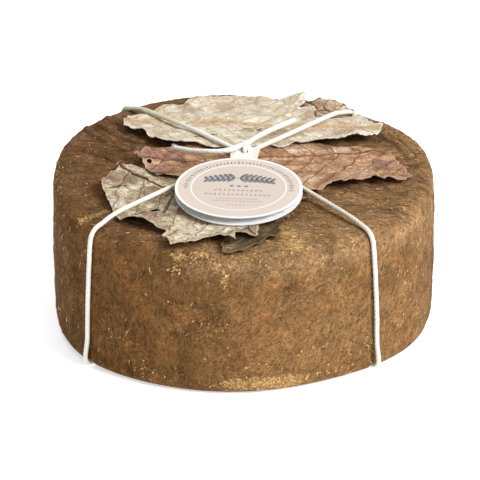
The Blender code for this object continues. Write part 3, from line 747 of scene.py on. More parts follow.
# Each leaf: outline from above, what it lies on, ripple, phase, curls (x, y, reach, lift),
# midrib, width of the midrib, gap, slant and bend of the side veins, holes (x, y, half sizes),
# cracks, stained and bleached spots (x, y, reach) and lifts of its free edges.
# Finer: points that trim the blade in place of the outline's from the first number on, up to
# the second.
LEAVES = {
    "leaf_front_right": {
        "outline": ((-9.5, -77.5), (-8.5, -82.5), (-6, -83.5), (-1.5, -82), (1, -81.5), (5, -77.5),
                    (9.5, -71), (14, -69.5), (15.5, -66), (14.5, -61.5), (17.5, -59), (16.5, -50),
                    (19, -52.5), (21.5, -45), (26, -35), (27.5, -31.5), (22.5, -24), (14, -33.5),
                    (6.5, -48.5), (-1.5, -60.5), (-7.5, -68)),
        "lies_on": (), "ripple": 0.35, "phase": 1.3, "curls": ((25, -37, 8, 0.9),),
        "midrib": ((-9, -80), (2, -62), (12, -46), (24, -27)), "midrib_width": 0.5, "vein_gap": 7.5,
        "vein_slant": 0.8, "vein_bend": 0.0, "holes": (), "crumple": 0.42, "teeth": 0.7,
        "cracks": (((-2, -76), (4, -68)), ((10, -66), (16, -58))),
        "lifts": ((8, -76, 6, 0.8), (24, -40, 6, 1.2), (17, -56, 5, 1.0)),
        "stained": ((4, -72, 6), (14, -60, 4)), "bleached": ((-5, -79, 2.5), (25, -38, 6), (18, -52, 3)),
    },
    "leaf_front_left": {
        "outline": ((-55.5, 2), (-53.5, -3.5), (-57.5, -8.5), (-59.5, -12.5), (-60.5, -20), (-60, -27),
                    (-58.5, -31.5), (-55.5, -44), (-53.5, -51), (-50.5, -56.5), (-46, -56.5),
                    (-42.5, -58), (-39.5, -62), (-32.5, -65), (-32, -70.5), (-34, -74.5), (-31.5, -76.5),
                    (-30.5, -80), (-18, -77.5), (-10.5, -73.5), (-3.5, -77.5), (-3.5, -70.5), (5.5, -72),
                    (6, -67), (6, -56), (-1.5, -39.5), (-12, -24.5), (-23, -12.5), (-34, -4.5),
                    (-41.5, -2.5), (-51, -0.5)),
        "lies_on": ("leaf_front_right",), "ripple": 0.5, "phase": 0.0,
        "curls": ((-59, -24, 13, 1.0), (-36, -66, 12, 0.9), (-52, -1, 7, 0.9)),
        "midrib": ((-54.3, 2.1), (-52.6, -3.4), (-46.8, -9.6), (-40.1, -16.6), (-33.7, -22.1), (-20, -33),
                   (-6, -45), (5, -60)),
        "midrib_width": 1.0, "vein_gap": 10.5, "vein_slant": 0.72, "vein_bend": -0.002,
        "holes": ((-38.2, -46.8, 3.1, 1.7), (-55.2, -7.0, 0.9, 0.8), (-31.4, -32.4, 1.0, 0.8)),
        "cracks": (((-29.9, -30.1), (-31.6, -38.0), (-33.4, -48.8)), ((-50.5, -21.1), (-56.8, -26.1)),
                   ((0.6, -63.2), (4.7, -70.8)), ((-42, -49), (-46, -52))),
        "lifts": ((-45, -60, 9, 2.1), (-32, -78, 8, 1.5), (-60, -22, 7, 0.8), (-4, -75, 6, 1.3),
                  (-16, -76, 5, 1.0)),
        "crumple": 0.44, "teeth": 0.45,
        "stained": ((-53, -12, 8), (1, -67, 6), (-38, -48, 6), (-38, -28, 7), (-52, -36, 4)),
        "bleached": ((-12, -60, 11), (-22, -71, 7), (-54, -38, 5), (-48, -6, 4)),
    },
    "leaf_back_right": {
        "outline": ((26.5, 65.5), (29.5, 69.5), (33, 67), (33.5, 69), (37.5, 65), (40.5, 68),
                    (45.5, 61.5), (46.5, 56.5), (45, 48.5), (38.5, 40.5), (27.5, 40.5), (23.5, 53.5)),
        "lies_on": (), "ripple": 0.4, "phase": 2.2, "curls": ((34, 68, 9, 1.0),),
        "midrib": ((24, 60), (36, 58), (50, 55)), "midrib_width": 0.6,
        "finer": (1, 8, ((28.1, 69.4), (31.2, 67.8), (33.5, 69.2), (36.6, 65.3), (38.6, 66.8),
                         (40.4, 68.6), (42.4, 64.6), (44.6, 65.3), (46.4, 62.0), (48.9, 61.0),
                         (49.7, 57.2), (46.5, 54))),
        "vein_gap": 7.0, "vein_slant": 0.8, "vein_bend": 0.0, "holes": (), "crumple": 0.42, "teeth": 0.4,
        "cracks": (((28, 67.4), (32.7, 62)), ((36, 62), (38, 57))),
        "lifts": ((40, 67, 5, 0.8), (30, 68, 4, 0.7)), "stained": ((30, 65, 4), (34, 67, 3)),
        "bleached": (),
    },
    "leaf_middle": {
        "outline": ((-48, 8), (-45.5, 11), (-42.5, 17), (-35.5, 18), (-25.5, 25.5), (-12.5, 27.5),
                    (3, 28.5), (20.5, 27), (36, 22), (42, 21), (49, 18.5), (54.5, 16), (64, 14),
                    (67.5, 6.5), (70.5, -4), (73.5, -10.5), (64.5, -14.5), (60, -17), (55.5, -15.5),
                    (49.5, -18), (47, -22), (40, -18), (33.5, -25), (29.5, -23.5), (11.5, -21.5),
                    (-5.5, -19.5), (-18.5, -17), (-27, -14), (-38, -11), (-41.5, -6.5), (-44, 2.5)),
        "lies_on": ("leaf_front_left",), "ripple": 0.6, "phase": 0.9,
        "curls": ((47, -21, 12, 1.5), (-43, 15, 9, 0.9)),
        "midrib": ((-44, 3), (-30.6, 4.2), (-16.2, 4), (-6.1, 7.3), (8.3, 8.3), (20.5, 9.4), (34, 10.9),
                   (44.5, 11.5), (55.9, 13.2), (63.8, 12.8)),
        "finer": (11, 24, ((54.5, 15.5), (63.5, 13), (66, 6.5), (69, -3), (71, -8.5), (73.2, -12.5),
                           (70.6, -12.2), (69.2, -15.4), (65.3, -16.2), (61.4, -15.4), (60.3, -17.9),
                           (58.3, -17.2), (55.2, -15.2), (53.5, -17.4), (49.3, -18.4), (47.5, -21.4),
                           (43.2, -22.1), (41.2, -20.9), (40, -18), (38.6, -18.6), (36, -22),
                           (32.8, -25.4), (30, -23.8), (24.7, -24.3))),
        "midrib_width": 0.7, "vein_gap": 9.6, "vein_slant": -0.55, "vein_bend": -0.004,
        "cracks": (((-40, -10), (-30, -12)),),
        "lifts": ((50, -20, 10, 1.0), (64, -15, 8, 0.8), (-44, 14, 7, 0.8)),
        "holes": ((-40.8, 1.2, 1.3, 1.2),), "crumple": 0.42, "teeth": 1.3,
        "stained": ((-43, 13, 10), (-34, 8, 8), (-28, 18, 7), (20, 25, 5), (-38, -7, 6), (60, 2, 5)),
        "bleached": ((24, 20, 8), (42, 17, 5), (28, -14, 5), (52, -10, 5)),
    },
    "leaf_back": {
        "outline": ((-53, 38.5), (-49, 35.5), (-45, 34.5), (-41.5, 27), (-37, 22.5), (-31, 18.5),
                    (-25.5, 17), (-20.5, 19), (-12, 15.5), (3, 16), (10, 21.5), (15, 17.5), (24.5, 20.5),
                    (34.5, 20.5), (39, 22), (44, 22.5), (47, 25), (53.5, 24), (58.5, 26.5), (60.5, 31.5),
                    (61.5, 39), (58.5, 40.5), (56, 46), (51, 50.5), (43, 47.5), (34, 46), (32, 54),
                    (31.5, 59), (24.5, 57), (27, 62), (28.5, 68.5), (19, 68.5), (7, 71.5), (-1.5, 73.5),
                    (-14, 72.5), (-22.5, 70.5), (-26.5, 65), (-34.5, 63), (-41.5, 57), (-51.5, 50.5),
                    (-53, 44.5)),
        "lies_on": ("leaf_middle", "leaf_back_right"), "ripple": 0.9, "phase": 2.6,
        "curls": ((-36, 22, 16, 1.8), (-53, 42, 12, 1.2), (52, 24, 12, 1.6), (61, 38, 10, 1.2),
                  (28, 67, 10, 0.9)),
        "midrib": ((-52, 44), (-36.8, 43.6), (-25.8, 43.3), (-10.3, 45), (0.7, 43.3), (20.6, 40),
                   (42.6, 37.5), (58, 33.6)),
        "midrib_width": 0.9, "vein_gap": 9.5, "vein_slant": 1.0, "vein_bend": 0.0,
        "cracks": (((31.9, 53), (32.4, 48)), ((6, 32.5), (7.8, 35.7)), ((-21.2, 25.1), (-11.6, 29.3))),
        "lifts": ((-30, 20, 10, 0.9), (50, 25, 9, 0.8)),
        "holes": ((32.4, 47.8, 1.3, 1.2), (7.6, 35.8, 0.9, 0.8), (5.8, 32.6, 0.7, 0.8),
                  (-11.6, 29.3, 0.8, 0.7)),
        "crumple": 0.48, "teeth": 0.3,
        "stained": ((-8, 63, 5), (16, 30, 9), (-25, 60, 5), (32, 50, 5), (-47, 41, 3), (4, 35, 4),
                    (44, 32, 6)),
        "bleached": (),
    },
}


def closed(outline):
    """The outline with its first point again at the end."""
    return tuple(outline) + (outline[0],)


def inside(x, y, outline):
    """Which places lie inside a closed outline."""
    within = np.zeros(len(x), bool)
    for (x1, y1), (x2, y2) in zip(outline, closed(outline)[1:]):
        if y1 != y2:
            within ^= ((y1 > y) != (y2 > y)) & (x < (x2 - x1) * (y - y1) / (y2 - y1) + x1)
    return within


def mound(x, y, middle_x, middle_y, reach):
    """A soft round mound: 1 in its middle, nearly nothing past twice its reach."""
    return np.exp(-((x - middle_x) ** 2 + (y - middle_y) ** 2) / (reach * reach))


def leaf_underside(name, x, y):
    """Height of a leaf's underside: it drapes over what it lies on, ripples and curls."""
    leaf = LEAVES[name]
    height = np.full(len(x), WHEEL_HEIGHT + LEAF_REST)
    edge = outline_radius(np.arctan2(y, x)) - TOP_RIM_RADIUS
    over = np.clip(np.hypot(x, y) - edge, 0.0, TOP_RIM_RADIUS)
    height -= 0.5 * (TOP_RIM_RADIUS - np.sqrt(TOP_RIM_RADIUS ** 2 - over ** 2))
    for lower in leaf["lies_on"]:
        outline = LEAVES[lower]["outline"]
        apart = np.where(inside(x, y, outline), 0.0, distance_to_line(x, y, closed(outline)))
        share = soft_step(1.0 - (apart - 1.5) / DRAPE_REACH, 0.0, 1.0)
        above = leaf_underside(lower, x, y) + LEAF_THICKNESS + LEAF_GAP
        height = np.maximum(height, height + share * (above - height))
    wave = np.sin(x / 6.3 + leaf["phase"]) * np.cos(y / 5.4 - leaf["phase"])
    height += leaf["ripple"] * (0.5 + 0.5 * wave)
    for cx, cy, reach, lift in leaf["curls"]:
        height += lift * mound(x, y, cx, cy, reach)
    return height


def ragged(outline, teeth, draw):
    """The outline with points every millimetre or so, torn and toothed."""
    points = []
    run = 0.0
    for (x1, y1), (x2, y2) in zip(outline, closed(outline)[1:]):
        length = math.hypot(x2 - x1, y2 - y1)
        steps = max(2, round(length / 1.1))
        for k in range(steps):
            share = k / steps
            run += length / steps
            tooth = teeth * (abs((run / 4.6) % 1.0 - 0.35) - 0.3)
            step = tooth + draw.uniform(-0.22, 0.22)
            points.append((x1 + (x2 - x1) * share - step * (y2 - y1) / length,
                           y1 + (y2 - y1) * share + step * (x2 - x1) / length))
    return points


def ring_of(x, y, half_x, half_y, draw):
    """The uneven rim of a hole."""
    points = []
    for k in range(14):
        turn = 2 * math.pi * k / 14
        reach = draw.uniform(0.82, 1.15)
        points.append((x + half_x * reach * math.cos(turn), y + half_y * reach * math.sin(turn)))
    return points


def nearest_on(x, y, lines):
    """The nearest place to each place on a set of closed lines, and its distance."""
    best = np.full(len(x), 1e9)
    at_x, at_y = x.copy(), y.copy()
    for line in lines:
        for (x1, y1), (x2, y2) in zip(line, closed(line)[1:]):
            dx, dy = x2 - x1, y2 - y1
            share = np.clip(((x - x1) * dx + (y - y1) * dy) / max(dx * dx + dy * dy, 1e-9), 0.0, 1.0)
            px, py = x1 + share * dx, y1 + share * dy
            apart = np.hypot(x - px, y - py)
            closer = apart < best
            best = np.where(closer, apart, best)
            at_x, at_y = np.where(closer, px, at_x), np.where(closer, py, at_y)
    return best, at_x, at_y


def along_midrib(x, y, midrib):
    """How far along the midrib each place lies, and how far beside it, with a sign."""
    best = np.full(len(x), 1e9)
    along, aside = np.zeros(len(x)), np.zeros(len(x))
    run = 0.0
    for i, ((x1, y1), (x2, y2)) in enumerate(zip(midrib, midrib[1:])):
        dx, dy = x2 - x1, y2 - y1
        length = math.hypot(dx, dy)
        low = -9.0 if i == 0 else 0.0
        high = 9.0 if i == len(midrib) - 2 else 1.0
        share = np.clip(((x - x1) * dx + (y - y1) * dy) / (length * length), low, high)
        apart = np.hypot(x - x1 - share * dx, y - y1 - share * dy)
        side = np.sign((y - y1) * dx - (x - x1) * dy)
        closer = apart < best
        best = np.where(closer, apart, best)
        along = np.where(closer, run + share * length, along)
        aside = np.where(closer, apart * side, aside)
        run += length
    return along, aside


def twine_above(x, y):
    """Distance in plan to the strands on the top."""
    nearest = np.full(len(x), 1e9)
    for rim, _ in STRANDS.values():
        angle = math.radians(rim)
        end = (WHEEL_RADIUS * math.cos(angle), WHEEL_RADIUS * math.sin(angle))
        nearest = np.minimum(nearest, distance_to_line(x, y, (CROSSING[:2], end)))
    return nearest


def room_under_tag(x, y):
    """The highest that a leaf may stand at each place, so that the tag lies clear of it."""
    side = (x - TAG_CENTRE[0]) * math.cos(TAG_TURN) + (y - TAG_CENTRE[1]) * math.sin(TAG_TURN)
    back = (y - TAG_CENTRE[1]) * math.cos(TAG_TURN) - (x - TAG_CENTRE[0]) * math.sin(TAG_TURN)
    under = np.hypot(side, back) < TAG_RADIUS + 2.0
    under |= (np.abs(side) < 9.0) & (back > 0.0) & (back < TAG_FOLD + 2.0)
    return np.where(under, FOLD_HEIGHT - 1.1 - (TAG_FOLD - back) * BACK_SLOPE, 99.0)


def grow_leaf(name, seed):
    """One leaf: a grid trimmed to its torn outline, veined, crumpled and given its thickness."""
    leaf = LEAVES[name]
    draw = random.Random(seed)
    first, last, finer = leaf.get("finer", (0, 0, ()))
    margin = leaf["outline"][:first] + finer + leaf["outline"][last:]
    rim = ragged(margin, leaf["teeth"], draw)
    lines = [rim] + [ring_of(*hole, draw) for hole in leaf["holes"]]
    low_x, high_x = min(p[0] for p in rim) - 1, max(p[0] for p in rim) + 1
    low_y, high_y = min(p[1] for p in rim) - 1, max(p[1] for p in rim) + 1
    bpy.ops.mesh.primitive_grid_add(x_subdivisions=round((high_x - low_x) / LEAF_CELL),
                                    y_subdivisions=round((high_y - low_y) / LEAF_CELL), size=1.0,
                                    location=((low_x + high_x) / 2 * MM, (low_y + high_y) / 2 * MM, 0.0))
    blade = bpy.context.object
    blade.name = name + "_blade"
    blade.scale = ((high_x - low_x) * MM, (high_y - low_y) * MM, 1.0)
    settle(blade)
    x, y, z = places_of(blade)
    keep = inside(x, y, rim)
    for hole in lines[1:]:
        keep &= ~inside(x, y, hole)
    apart, at_x, at_y = nearest_on(x, y, lines)
    close = apart < 0.5 * LEAF_CELL
    x, y = np.where(close, at_x, x), np.where(close, at_y, y)
    keep |= close
    move_to(blade, x, y, z)
    mesh = open_edit(blade, "VERT")
    mesh.verts.ensure_lookup_table()
    for i in np.flatnonzero(~keep):
        mesh.verts[i].select_set(True)
    bpy.ops.mesh.delete(type="VERT")
    bpy.ops.mesh.select_all(action="DESELECT")
    mesh = bmesh.from_edit_mesh(blade.data)
    for vert in mesh.verts:
        vert.select_set(len(vert.link_faces) == 0)
    bpy.ops.mesh.delete(type="VERT")
    mesh = bmesh.from_edit_mesh(blade.data)
    border = np.array([vert.is_boundary for vert in mesh.verts])
    close_edit()
    x, y, z = places_of(blade)
    apart, at_x, at_y = nearest_on(x, y, lines)
    x, y = np.where(border, at_x, x), np.where(border, at_y, y)
    apart = np.where(border, 0.0, apart)
    along, aside = along_midrib(x, y, leaf["midrib"])
    lean = along - leaf["vein_slant"] * np.abs(aside) - leaf["vein_bend"] * aside ** 2
    vein = np.abs((lean / leaf["vein_gap"] + 0.5) % 1.0 - 0.5) * leaf["vein_gap"]
    covered = [other for other in LEAVES if name in LEAVES[other]["lies_on"]]
    free = soft_step(twine_above(x, y), 3.0, 8.0)
    for other in covered:
        outline = LEAVES[other]["outline"]
        away = np.where(inside(x, y, outline), 0.0, distance_to_line(x, y, closed(outline)))
        free *= soft_step(away, 1.5, 6.0)
    wave = lumps(x + 7 * seed, y, 0 * x, 9.0)
    crease = 0.5 - 2.4 * np.abs(lumps(0.40 * along + 3 * seed, aside, 0 * x, 6.5))
    crease += 0.3 - 1.4 * np.abs(lumps(1.1 * lean, 0.45 * aside + 4 * seed, 0 * x, 4.6))
    pucker = crease + 0.45 * lumps(x, y + 5 * seed, 0 * x, 6.0) + 0.22 * lumps(x, y, 0 * x + seed, 2.2)
    relief = leaf["crumple"] * pucker * (0.40 + 1.25 * free)
    relief += 0.14 * np.cos(2 * np.pi * lean / leaf["vein_gap"]) * soft_step(np.abs(aside), 1.0, 4.0)
    relief += 0.34 * leaf["midrib_width"] * np.exp(-(aside / (0.9 * leaf["midrib_width"])) ** 2)
    relief += 0.12 * np.exp(-(vein / 0.55) ** 2)
    relief += free * soft_step(apart, 6.0, 0.0) * (0.75 + 1.7 * wave)
    for cx, cy, reach, lift in leaf["lifts"]:
        relief += free * lift * mound(x, y, cx, cy, reach)
    crack = np.full(len(x), 9.0)
    for line in leaf["cracks"]:
        crack = np.minimum(crack, distance_to_line(x, y, line))
    top = leaf_underside(name, x, y) + LEAF_THICKNESS + np.clip(relief, -0.30, 0.15 + 3.0 * free)
    top = np.minimum(top, room_under_tag(x, y))
    move_to(blade, x, y, top)
    for label, values in (("along", along), ("aside", aside), ("margin", apart), ("crack", crack)):
        store(blade, label, values)
    for label in ("stained", "bleached"):
        patch = np.zeros(len(x))
        for spot in leaf[label]:
            patch = np.maximum(patch, mound(x, y, *spot))
        store(blade, label, patch)
    modify(blade, "SOLIDIFY", thickness=BLADE_THICKNESS * MM, offset=-1.0)
    take(blade)
    bpy.ops.object.shade_smooth_by_angle(angle=math.radians(55))
    return blade


def place_of(first, second, third=0.0):
    """A place from its three numbers."""
    return node("ShaderNodeCombineXYZ", {0: first, 1: second, 2: third})


def mesh_lines(place, size):
    """Distance to the lines of an uneven mesh with cells of a size."""
    return node("ShaderNodeTexVoronoi", {"Vector": place, "Scale": 1 / size}, "Distance",
                feature="DISTANCE_TO_EDGE")


def dry_leaf(name, leaf, blade, pale, deep, vein, rim, stain, streaks=0.5, blotch=0.5,
             band=0.0, mottle=0.24, veined=0.62, bleach=(0.90, 0.78, 0.62)):
    """Finish of one dry leaf, from the colours of its blade, high and low patches and veins."""
    material = new_finish(name)
    place = in_millimetres()
    along = stored("along")
    aside = stored("aside")
    away = abs(aside)
    lean = along - away * leaf["vein_slant"] + aside * aside * -leaf["vein_bend"]
    lean = lean + (cloud(place, 7.0) - 0.5) * 2.6
    from_vein = abs(sum_of("FRACT", lean / leaf["vein_gap"] + 20.5) - 0.5) * leaf["vein_gap"]
    side_vein = ramp(from_vein, 0.12, 0.42, 1.0, 0.0)
    midrib = ramp(away, 0.6 * leaf["midrib_width"], 1.0 * leaf["midrib_width"], 1.0, 0.0)
    rung = ramp(mesh_lines(place_of(lean * 0.28, away, along * 0.05), 1.9), 0.02, 0.1, 1.0, 0.0)
    net = ramp(mesh_lines(place, 0.9), 0.0, 0.12, 1.0, 0.0)
    grain = cloud(place, 0.9, 4.0, 0.7)
    patches = cloud(place_of(along * 0.42, aside), 7.0, 4.0, 0.6, 0.3)
    streak = cloud(place_of(along * 0.14, aside), 2.4, 3.0, 0.6)
    colour = blend(ramp(patches, 0.4, 0.6), blade, pale)
    wide = cloud(place, 19.0, 2.0, 0.5, 0.5)
    colour = blend(ramp(wide, 0.5, 0.66, 0.0, 0.55), colour, deep)
    colour = blend(ramp(streak, 0.48, 0.7, 0.0, streaks), colour, deep)
    blots = cloud(place, 5.5, 4.0, 0.65, 0.4) + stored("stained") * 0.3
    colour = blend(ramp(blots, 0.55, 0.72, 0.0, blotch), colour, stain)
    colour = blend(ramp(grain, 0.35, 0.75, 0.0, 0.3), colour, pale)
    light = stored("bleached") + cloud(place, 3.0, 4.0, 0.65) * 0.9
    colour = blend(ramp(light, 0.62, 1.15, 0.0, 0.8), colour, bleach)
    # Thin dark lines along the folds: painted shade in the creases, also pressed into the relief below.
    fold_shade = ramp(abs(cloud(place, 6.0, 3.0, 0.55, 0.8) - 0.5), 0.0, 0.03, 0.55, 0.0)
    colour = blend(fold_shade, colour, deep)
    mealy = cloud(place, 3.6, 5.0, 0.62)
    colour = scaled(colour, ramp(mealy, 0.32, 0.68, 1.0 - mottle, 1.0 + 0.7 * mottle))
    beside_midrib = ramp(away + (patches - 0.5) * 9.0, 0.5, 4.5, band, 0.0)
    for share in (net * 0.16, rung * 0.3, side_vein * veined, midrib * 0.92, beside_midrib):
        colour = blend(share, colour, vein)
    # Towards the margin the colour turns to the rim colour: on most leaves a paler edge, a painted
    # highlight where the curled edges catch the light.
    colour = blend(ramp(stored("margin"), 0.0, 0.9, 0.75, 0.0), colour, rim)
    colour = blend(ramp(stored("crack"), 0.35, 1.0, 0.9, 0.0), colour, CRACK_COLOUR)
    relief = side_vein * 0.55 + rung * 0.25 + net * 0.12 + grain * 0.35 + streak * 0.8
    relief = relief + mealy * (3.2 * mottle) - fold_shade * 0.8
    wear(colour, ramp(grain, 0.3, 0.7, 0.78, 0.6), relief, 0.5)
    shader.inputs["Specular IOR Level"].default_value = 0.25
    return material


CRACK_COLOUR = (0.07, 0.038, 0.02)
# Rim colours paler than the blade are painted edge highlights; the one of leaf_back_right is darker than
# its blade.
LEAF_FINISHES = {
    "leaf_front_right": ("leaf_olive", dict(blade=(0.092, 0.046, 0.010), pale=(0.30, 0.195, 0.070),
                                            deep=(0.065, 0.036, 0.014), vein=(0.07, 0.040, 0.018),
                                            rim=(0.25, 0.170, 0.080), stain=(0.040, 0.019, 0.007),
                                            mottle=0.42, bleach=(0.42, 0.31, 0.16))),
    "leaf_front_left": ("leaf_green", dict(blade=(0.50, 0.385, 0.215), pale=(0.82, 0.72, 0.52),
                                           deep=(0.31, 0.190, 0.095), vein=(0.115, 0.048, 0.020),
                                           rim=(0.68, 0.56, 0.41), stain=(0.23, 0.125, 0.072),
                                           streaks=0.65, blotch=0.75)),
    "leaf_back_right": ("leaf_tan", dict(blade=(0.60, 0.370, 0.190), pale=(0.88, 0.72, 0.53),
                                         deep=(0.20, 0.090, 0.036), vein=(0.16, 0.070, 0.030),
                                         rim=(0.24, 0.130, 0.06), stain=(0.15, 0.070, 0.030),
                                         streaks=0.75)),
    "leaf_middle": ("leaf_brown", dict(blade=(0.46, 0.250, 0.125), pale=(0.70, 0.44, 0.26),
                                       deep=(0.30, 0.155, 0.072), vein=(0.165, 0.044, 0.022),
                                       rim=(0.66, 0.45, 0.31), stain=(0.29, 0.142, 0.118),
                                       streaks=0.8, blotch=0.7, mottle=0.30, veined=0.85,
                                       bleach=(0.84, 0.60, 0.40))),
    "leaf_back": ("leaf_pale", dict(blade=(0.70, 0.605, 0.46), pale=(0.88, 0.83, 0.71),
                                    deep=(0.60, 0.455, 0.285), vein=(0.56, 0.375, 0.185),
                                    rim=(0.90, 0.87, 0.76), stain=(0.40, 0.275, 0.170),
                                    streaks=0.8, blotch=0.8, band=0.55, mottle=0.11)),
}
for number, leaf_name in enumerate(LEAVES):
    slot_name, colours = LEAF_FINISHES[leaf_name]
    blade = grow_leaf(leaf_name, 20 + number)
    hand_over(blade, dry_leaf(leaf_name + "_finish", LEAVES[leaf_name], **colours), slot_name, leaf_name)

# The midribs. The woody stalk and midrib of each leaf stands proud of the blade, thick at
# the stalk and thin towards the tip.
RIB_STEP = 1.6
RIB_SINK = 0.15
# Each: the leaf, girth at the stalk, share lost to the tip, colours, slot.
MIDRIBS = (("leaf_front_left", 0.85, 0.6, (0.085, 0.030, 0.012), (0.21, 0.085, 0.032), "leaf_green"),
           ("leaf_middle", 0.45, 0.2, (0.120, 0.030, 0.016), (0.26, 0.095, 0.050), "leaf_brown"),
           ("leaf_back", 0.48, 0.3, (0.42, 0.25, 0.105), (0.66, 0.47, 0.25), "leaf_pale"))
for leaf_name, girth, taper, dark, light, slot_name in MIDRIBS:
    blade = bpy.data.objects[leaf_name + "_blade"]
    blade_tree = BVHTree.FromObject(blade, bpy.context.evaluated_depsgraph_get())
    route = []
    for (x1, y1), (x2, y2) in zip(LEAVES[leaf_name]["midrib"], LEAVES[leaf_name]["midrib"][1:]):
        steps = max(1, round(math.hypot(x2 - x1, y2 - y1) / RIB_STEP))
        for k in range(steps):
            spot = Vector((x1 + (x2 - x1) * k / steps, y1 + (y2 - y1) * k / steps, 90.0))
            found = blade_tree.ray_cast(spot * MM, Vector((0, 0, -1)))[0]
            if found is not None:
                route.append(found / MM + Vector((0.0, 0.0, -RIB_SINK)))
    rib_corners, rib_faces = [], []
    lay_thread(rib_corners, rib_faces, route, girth, 8, taper)
    rib = made_of(leaf_name + "_rib", rib_corners, rib_faces)
    rib_finish = plain_finish(leaf_name + "_rib_wood", 1.8, 3.0, (0.35, 0.65), dark, light, (0.5, 0.7),
                              0.5, 0.08)
    hand_over(rib, rib_finish, slot_name)

# The twine. Cream butcher's twine of three plies crosses over the leaves, runs down the
# wall in four places and crosses again in grooves in the base, and it is knotted on top.
TWINE_RADIUS = 1.0
TWINE_CLEARANCE = 0.35
SUPPORT_REACH = 3.5
LOWEST_AXIS = 1.2
FOOT_BEND = 3.4
PLY_PITCH = 6.5
TWINE_STEP = 0.6


def support_height(x, y):
    """Height of the highest leaf or of the cheese under each place."""
    height = top_surface(x, y)
    for name, leaf in LEAVES.items():
        near = distance_to_line(x, y, closed(leaf["outline"])) < SUPPORT_REACH
        near |= inside(x, y, leaf["outline"])
        height = np.where(near, np.maximum(height, leaf_underside(name, x, y) + LEAF_THICKNESS), height)
    return height


def taut_strand(strand):
    """Points of a strand on the top: straight from above, taut over what is under it."""
    angle = math.radians(STRANDS[strand][0])
    rim = float(outline_radius(angle)) - TOP_RIM_RADIUS
    share = np.linspace(0.0, 1.0, 41)
    x = CROSSING[0] + (rim * math.cos(angle) - CROSSING[0]) * share
    y = CROSSING[1] + (rim * math.sin(angle) - CROSSING[1]) * share
    lift = TWINE_RADIUS + TWINE_CLEARANCE
    z = support_height(x, y) + lift
    z[0], z[-1] = CROSSING[2], WHEEL_HEIGHT + lift
    hull = []
    for place in zip(share, x, y, z):
        while len(hull) >= 2:
            a, b = hull[-2], hull[-1]
            if (b[3] - a[3]) * (place[0] - a[0]) - (place[3] - a[3]) * (b[0] - a[0]) > 0:
                break
            hull.pop()
        hull.append(place)
    return [Vector(place[1:]) for place in hull]


def wall_strand(strand):
    """Points of a strand from the rim down the wall into its groove."""
    rim_angle, foot_angle = (math.radians(a) for a in STRANDS[strand])
    lift = TWINE_RADIUS + TWINE_CLEARANCE
    centre_height = WHEEL_HEIGHT - TOP_RIM_RADIUS
    reach = TOP_RIM_RADIUS + lift
    points = []
    for turn in (0, 30, 60, 90):
        out = float(outline_radius(rim_angle)) - TOP_RIM_RADIUS + reach * math.sin(math.radians(turn))
        height = centre_height + reach * math.cos(math.radians(turn))
        points.append(polar(out, rim_angle, height))
    for height in (48.0, 36.0, 24.0, 13.0):
        angle = foot_angle + (rim_angle - foot_angle) * height / centre_height
        bulge = WALL_BULGE * math.sin(math.pi * height / centre_height)
        out = float(outline_radius(angle)) + bulge + lift + 0.1
        points.append(polar(out, angle, height))
    radius = float(outline_radius(foot_angle)) - 1.5
    for turn in (0, 30, 60, 90):
        out = radius + FOOT_BEND * math.cos(math.radians(turn))
        height = LOWEST_AXIS + FOOT_BEND * (1 - math.sin(math.radians(turn)))
        points.append(polar(out, foot_angle, height))
    return points


def base_run(first, second, hump):
    """Points of the run under the base, with a hump where it crosses the other."""
    middle = Vector((*BASE_CROSSING, LOWEST_AXIS))
    points = [middle + Vector((0, 0, hump))]
    for strand, at_end in ((first, False), (second, True)):
        reach = Vector((*foot_of(strand), LOWEST_AXIS)) - middle
        half = [middle + reach * share for share in (0.8, 0.6, 0.4, 0.2)]
        if hump:
            step = reach.normalized()
            half += [middle + step * 7.0 + Vector((0, 0, hump * 0.13)),
                     middle + step * 3.5 + Vector((0, 0, hump * 0.72))]
        points = points + half[::-1] if at_end else half + points
    return points


def smooth_route(points, step=TWINE_STEP):
    """Evenly spaced places on a smooth curve through the points."""
    points = [Vector(p) for p in points]
    ends = [points[0] * 2 - points[1]] + points + [points[-1] * 2 - points[-2]]
    dense = []
    for a, b, c, d in zip(ends, ends[1:], ends[2:], ends[3:]):
        count = max(2, int((c - b).length / (step / 3)))
        gaps = [max((q - p).length, 1e-6) ** 0.5 for p, q in ((a, b), (b, c), (c, d))]
        slope_b = ((b - a) / gaps[0] - (c - a) / (gaps[0] + gaps[1]) + (c - b) / gaps[1]) * gaps[1]
        slope_c = ((c - b) / gaps[1] - (d - b) / (gaps[1] + gaps[2]) + (d - c) / gaps[2]) * gaps[1]
        for k in range(count):
            t = k / count
            dense.append(b * (2 * t ** 3 - 3 * t ** 2 + 1) + slope_b * (t ** 3 - 2 * t ** 2 + t)
                         + c * (3 * t ** 2 - 2 * t ** 3) + slope_c * (t ** 3 - t ** 2))
    dense.append(points[-1])
    places, left = [dense[0]], step
    for a, b in zip(dense, dense[1:]):
        span = (b - a).length
        while span >= left:
            a = a + (b - a) * (left / span)
            span -= left
            places.append(a)
            left = step
        left -= span
    return places


def lie_on_rind(route):
    """Draw the part of a route on the rim and the wall in until the twine lies on the rind."""
    shifts = []
    for place in route:
        angle = math.atan2(place.y, place.x)
        edge = float(outline_radius(angle))
        reach = math.hypot(place.x, place.y)
        share = float(soft_step(reach, edge - 13.0, edge - 7.0) * soft_step(place.z, 4.0, 8.0))
        share *= 0.5 if place.y < 0.0 else 1.0
        found, way = skin_near(place)
        shifts.append(way * share * (0.92 * TWINE_RADIUS - (place - found).dot(way)))
    drawn = []
    for k, place in enumerate(route):
        near = shifts[max(k - 11, 0):k + 12]
        drawn.append(place + sum(near, Vector()) / len(near))
    return drawn


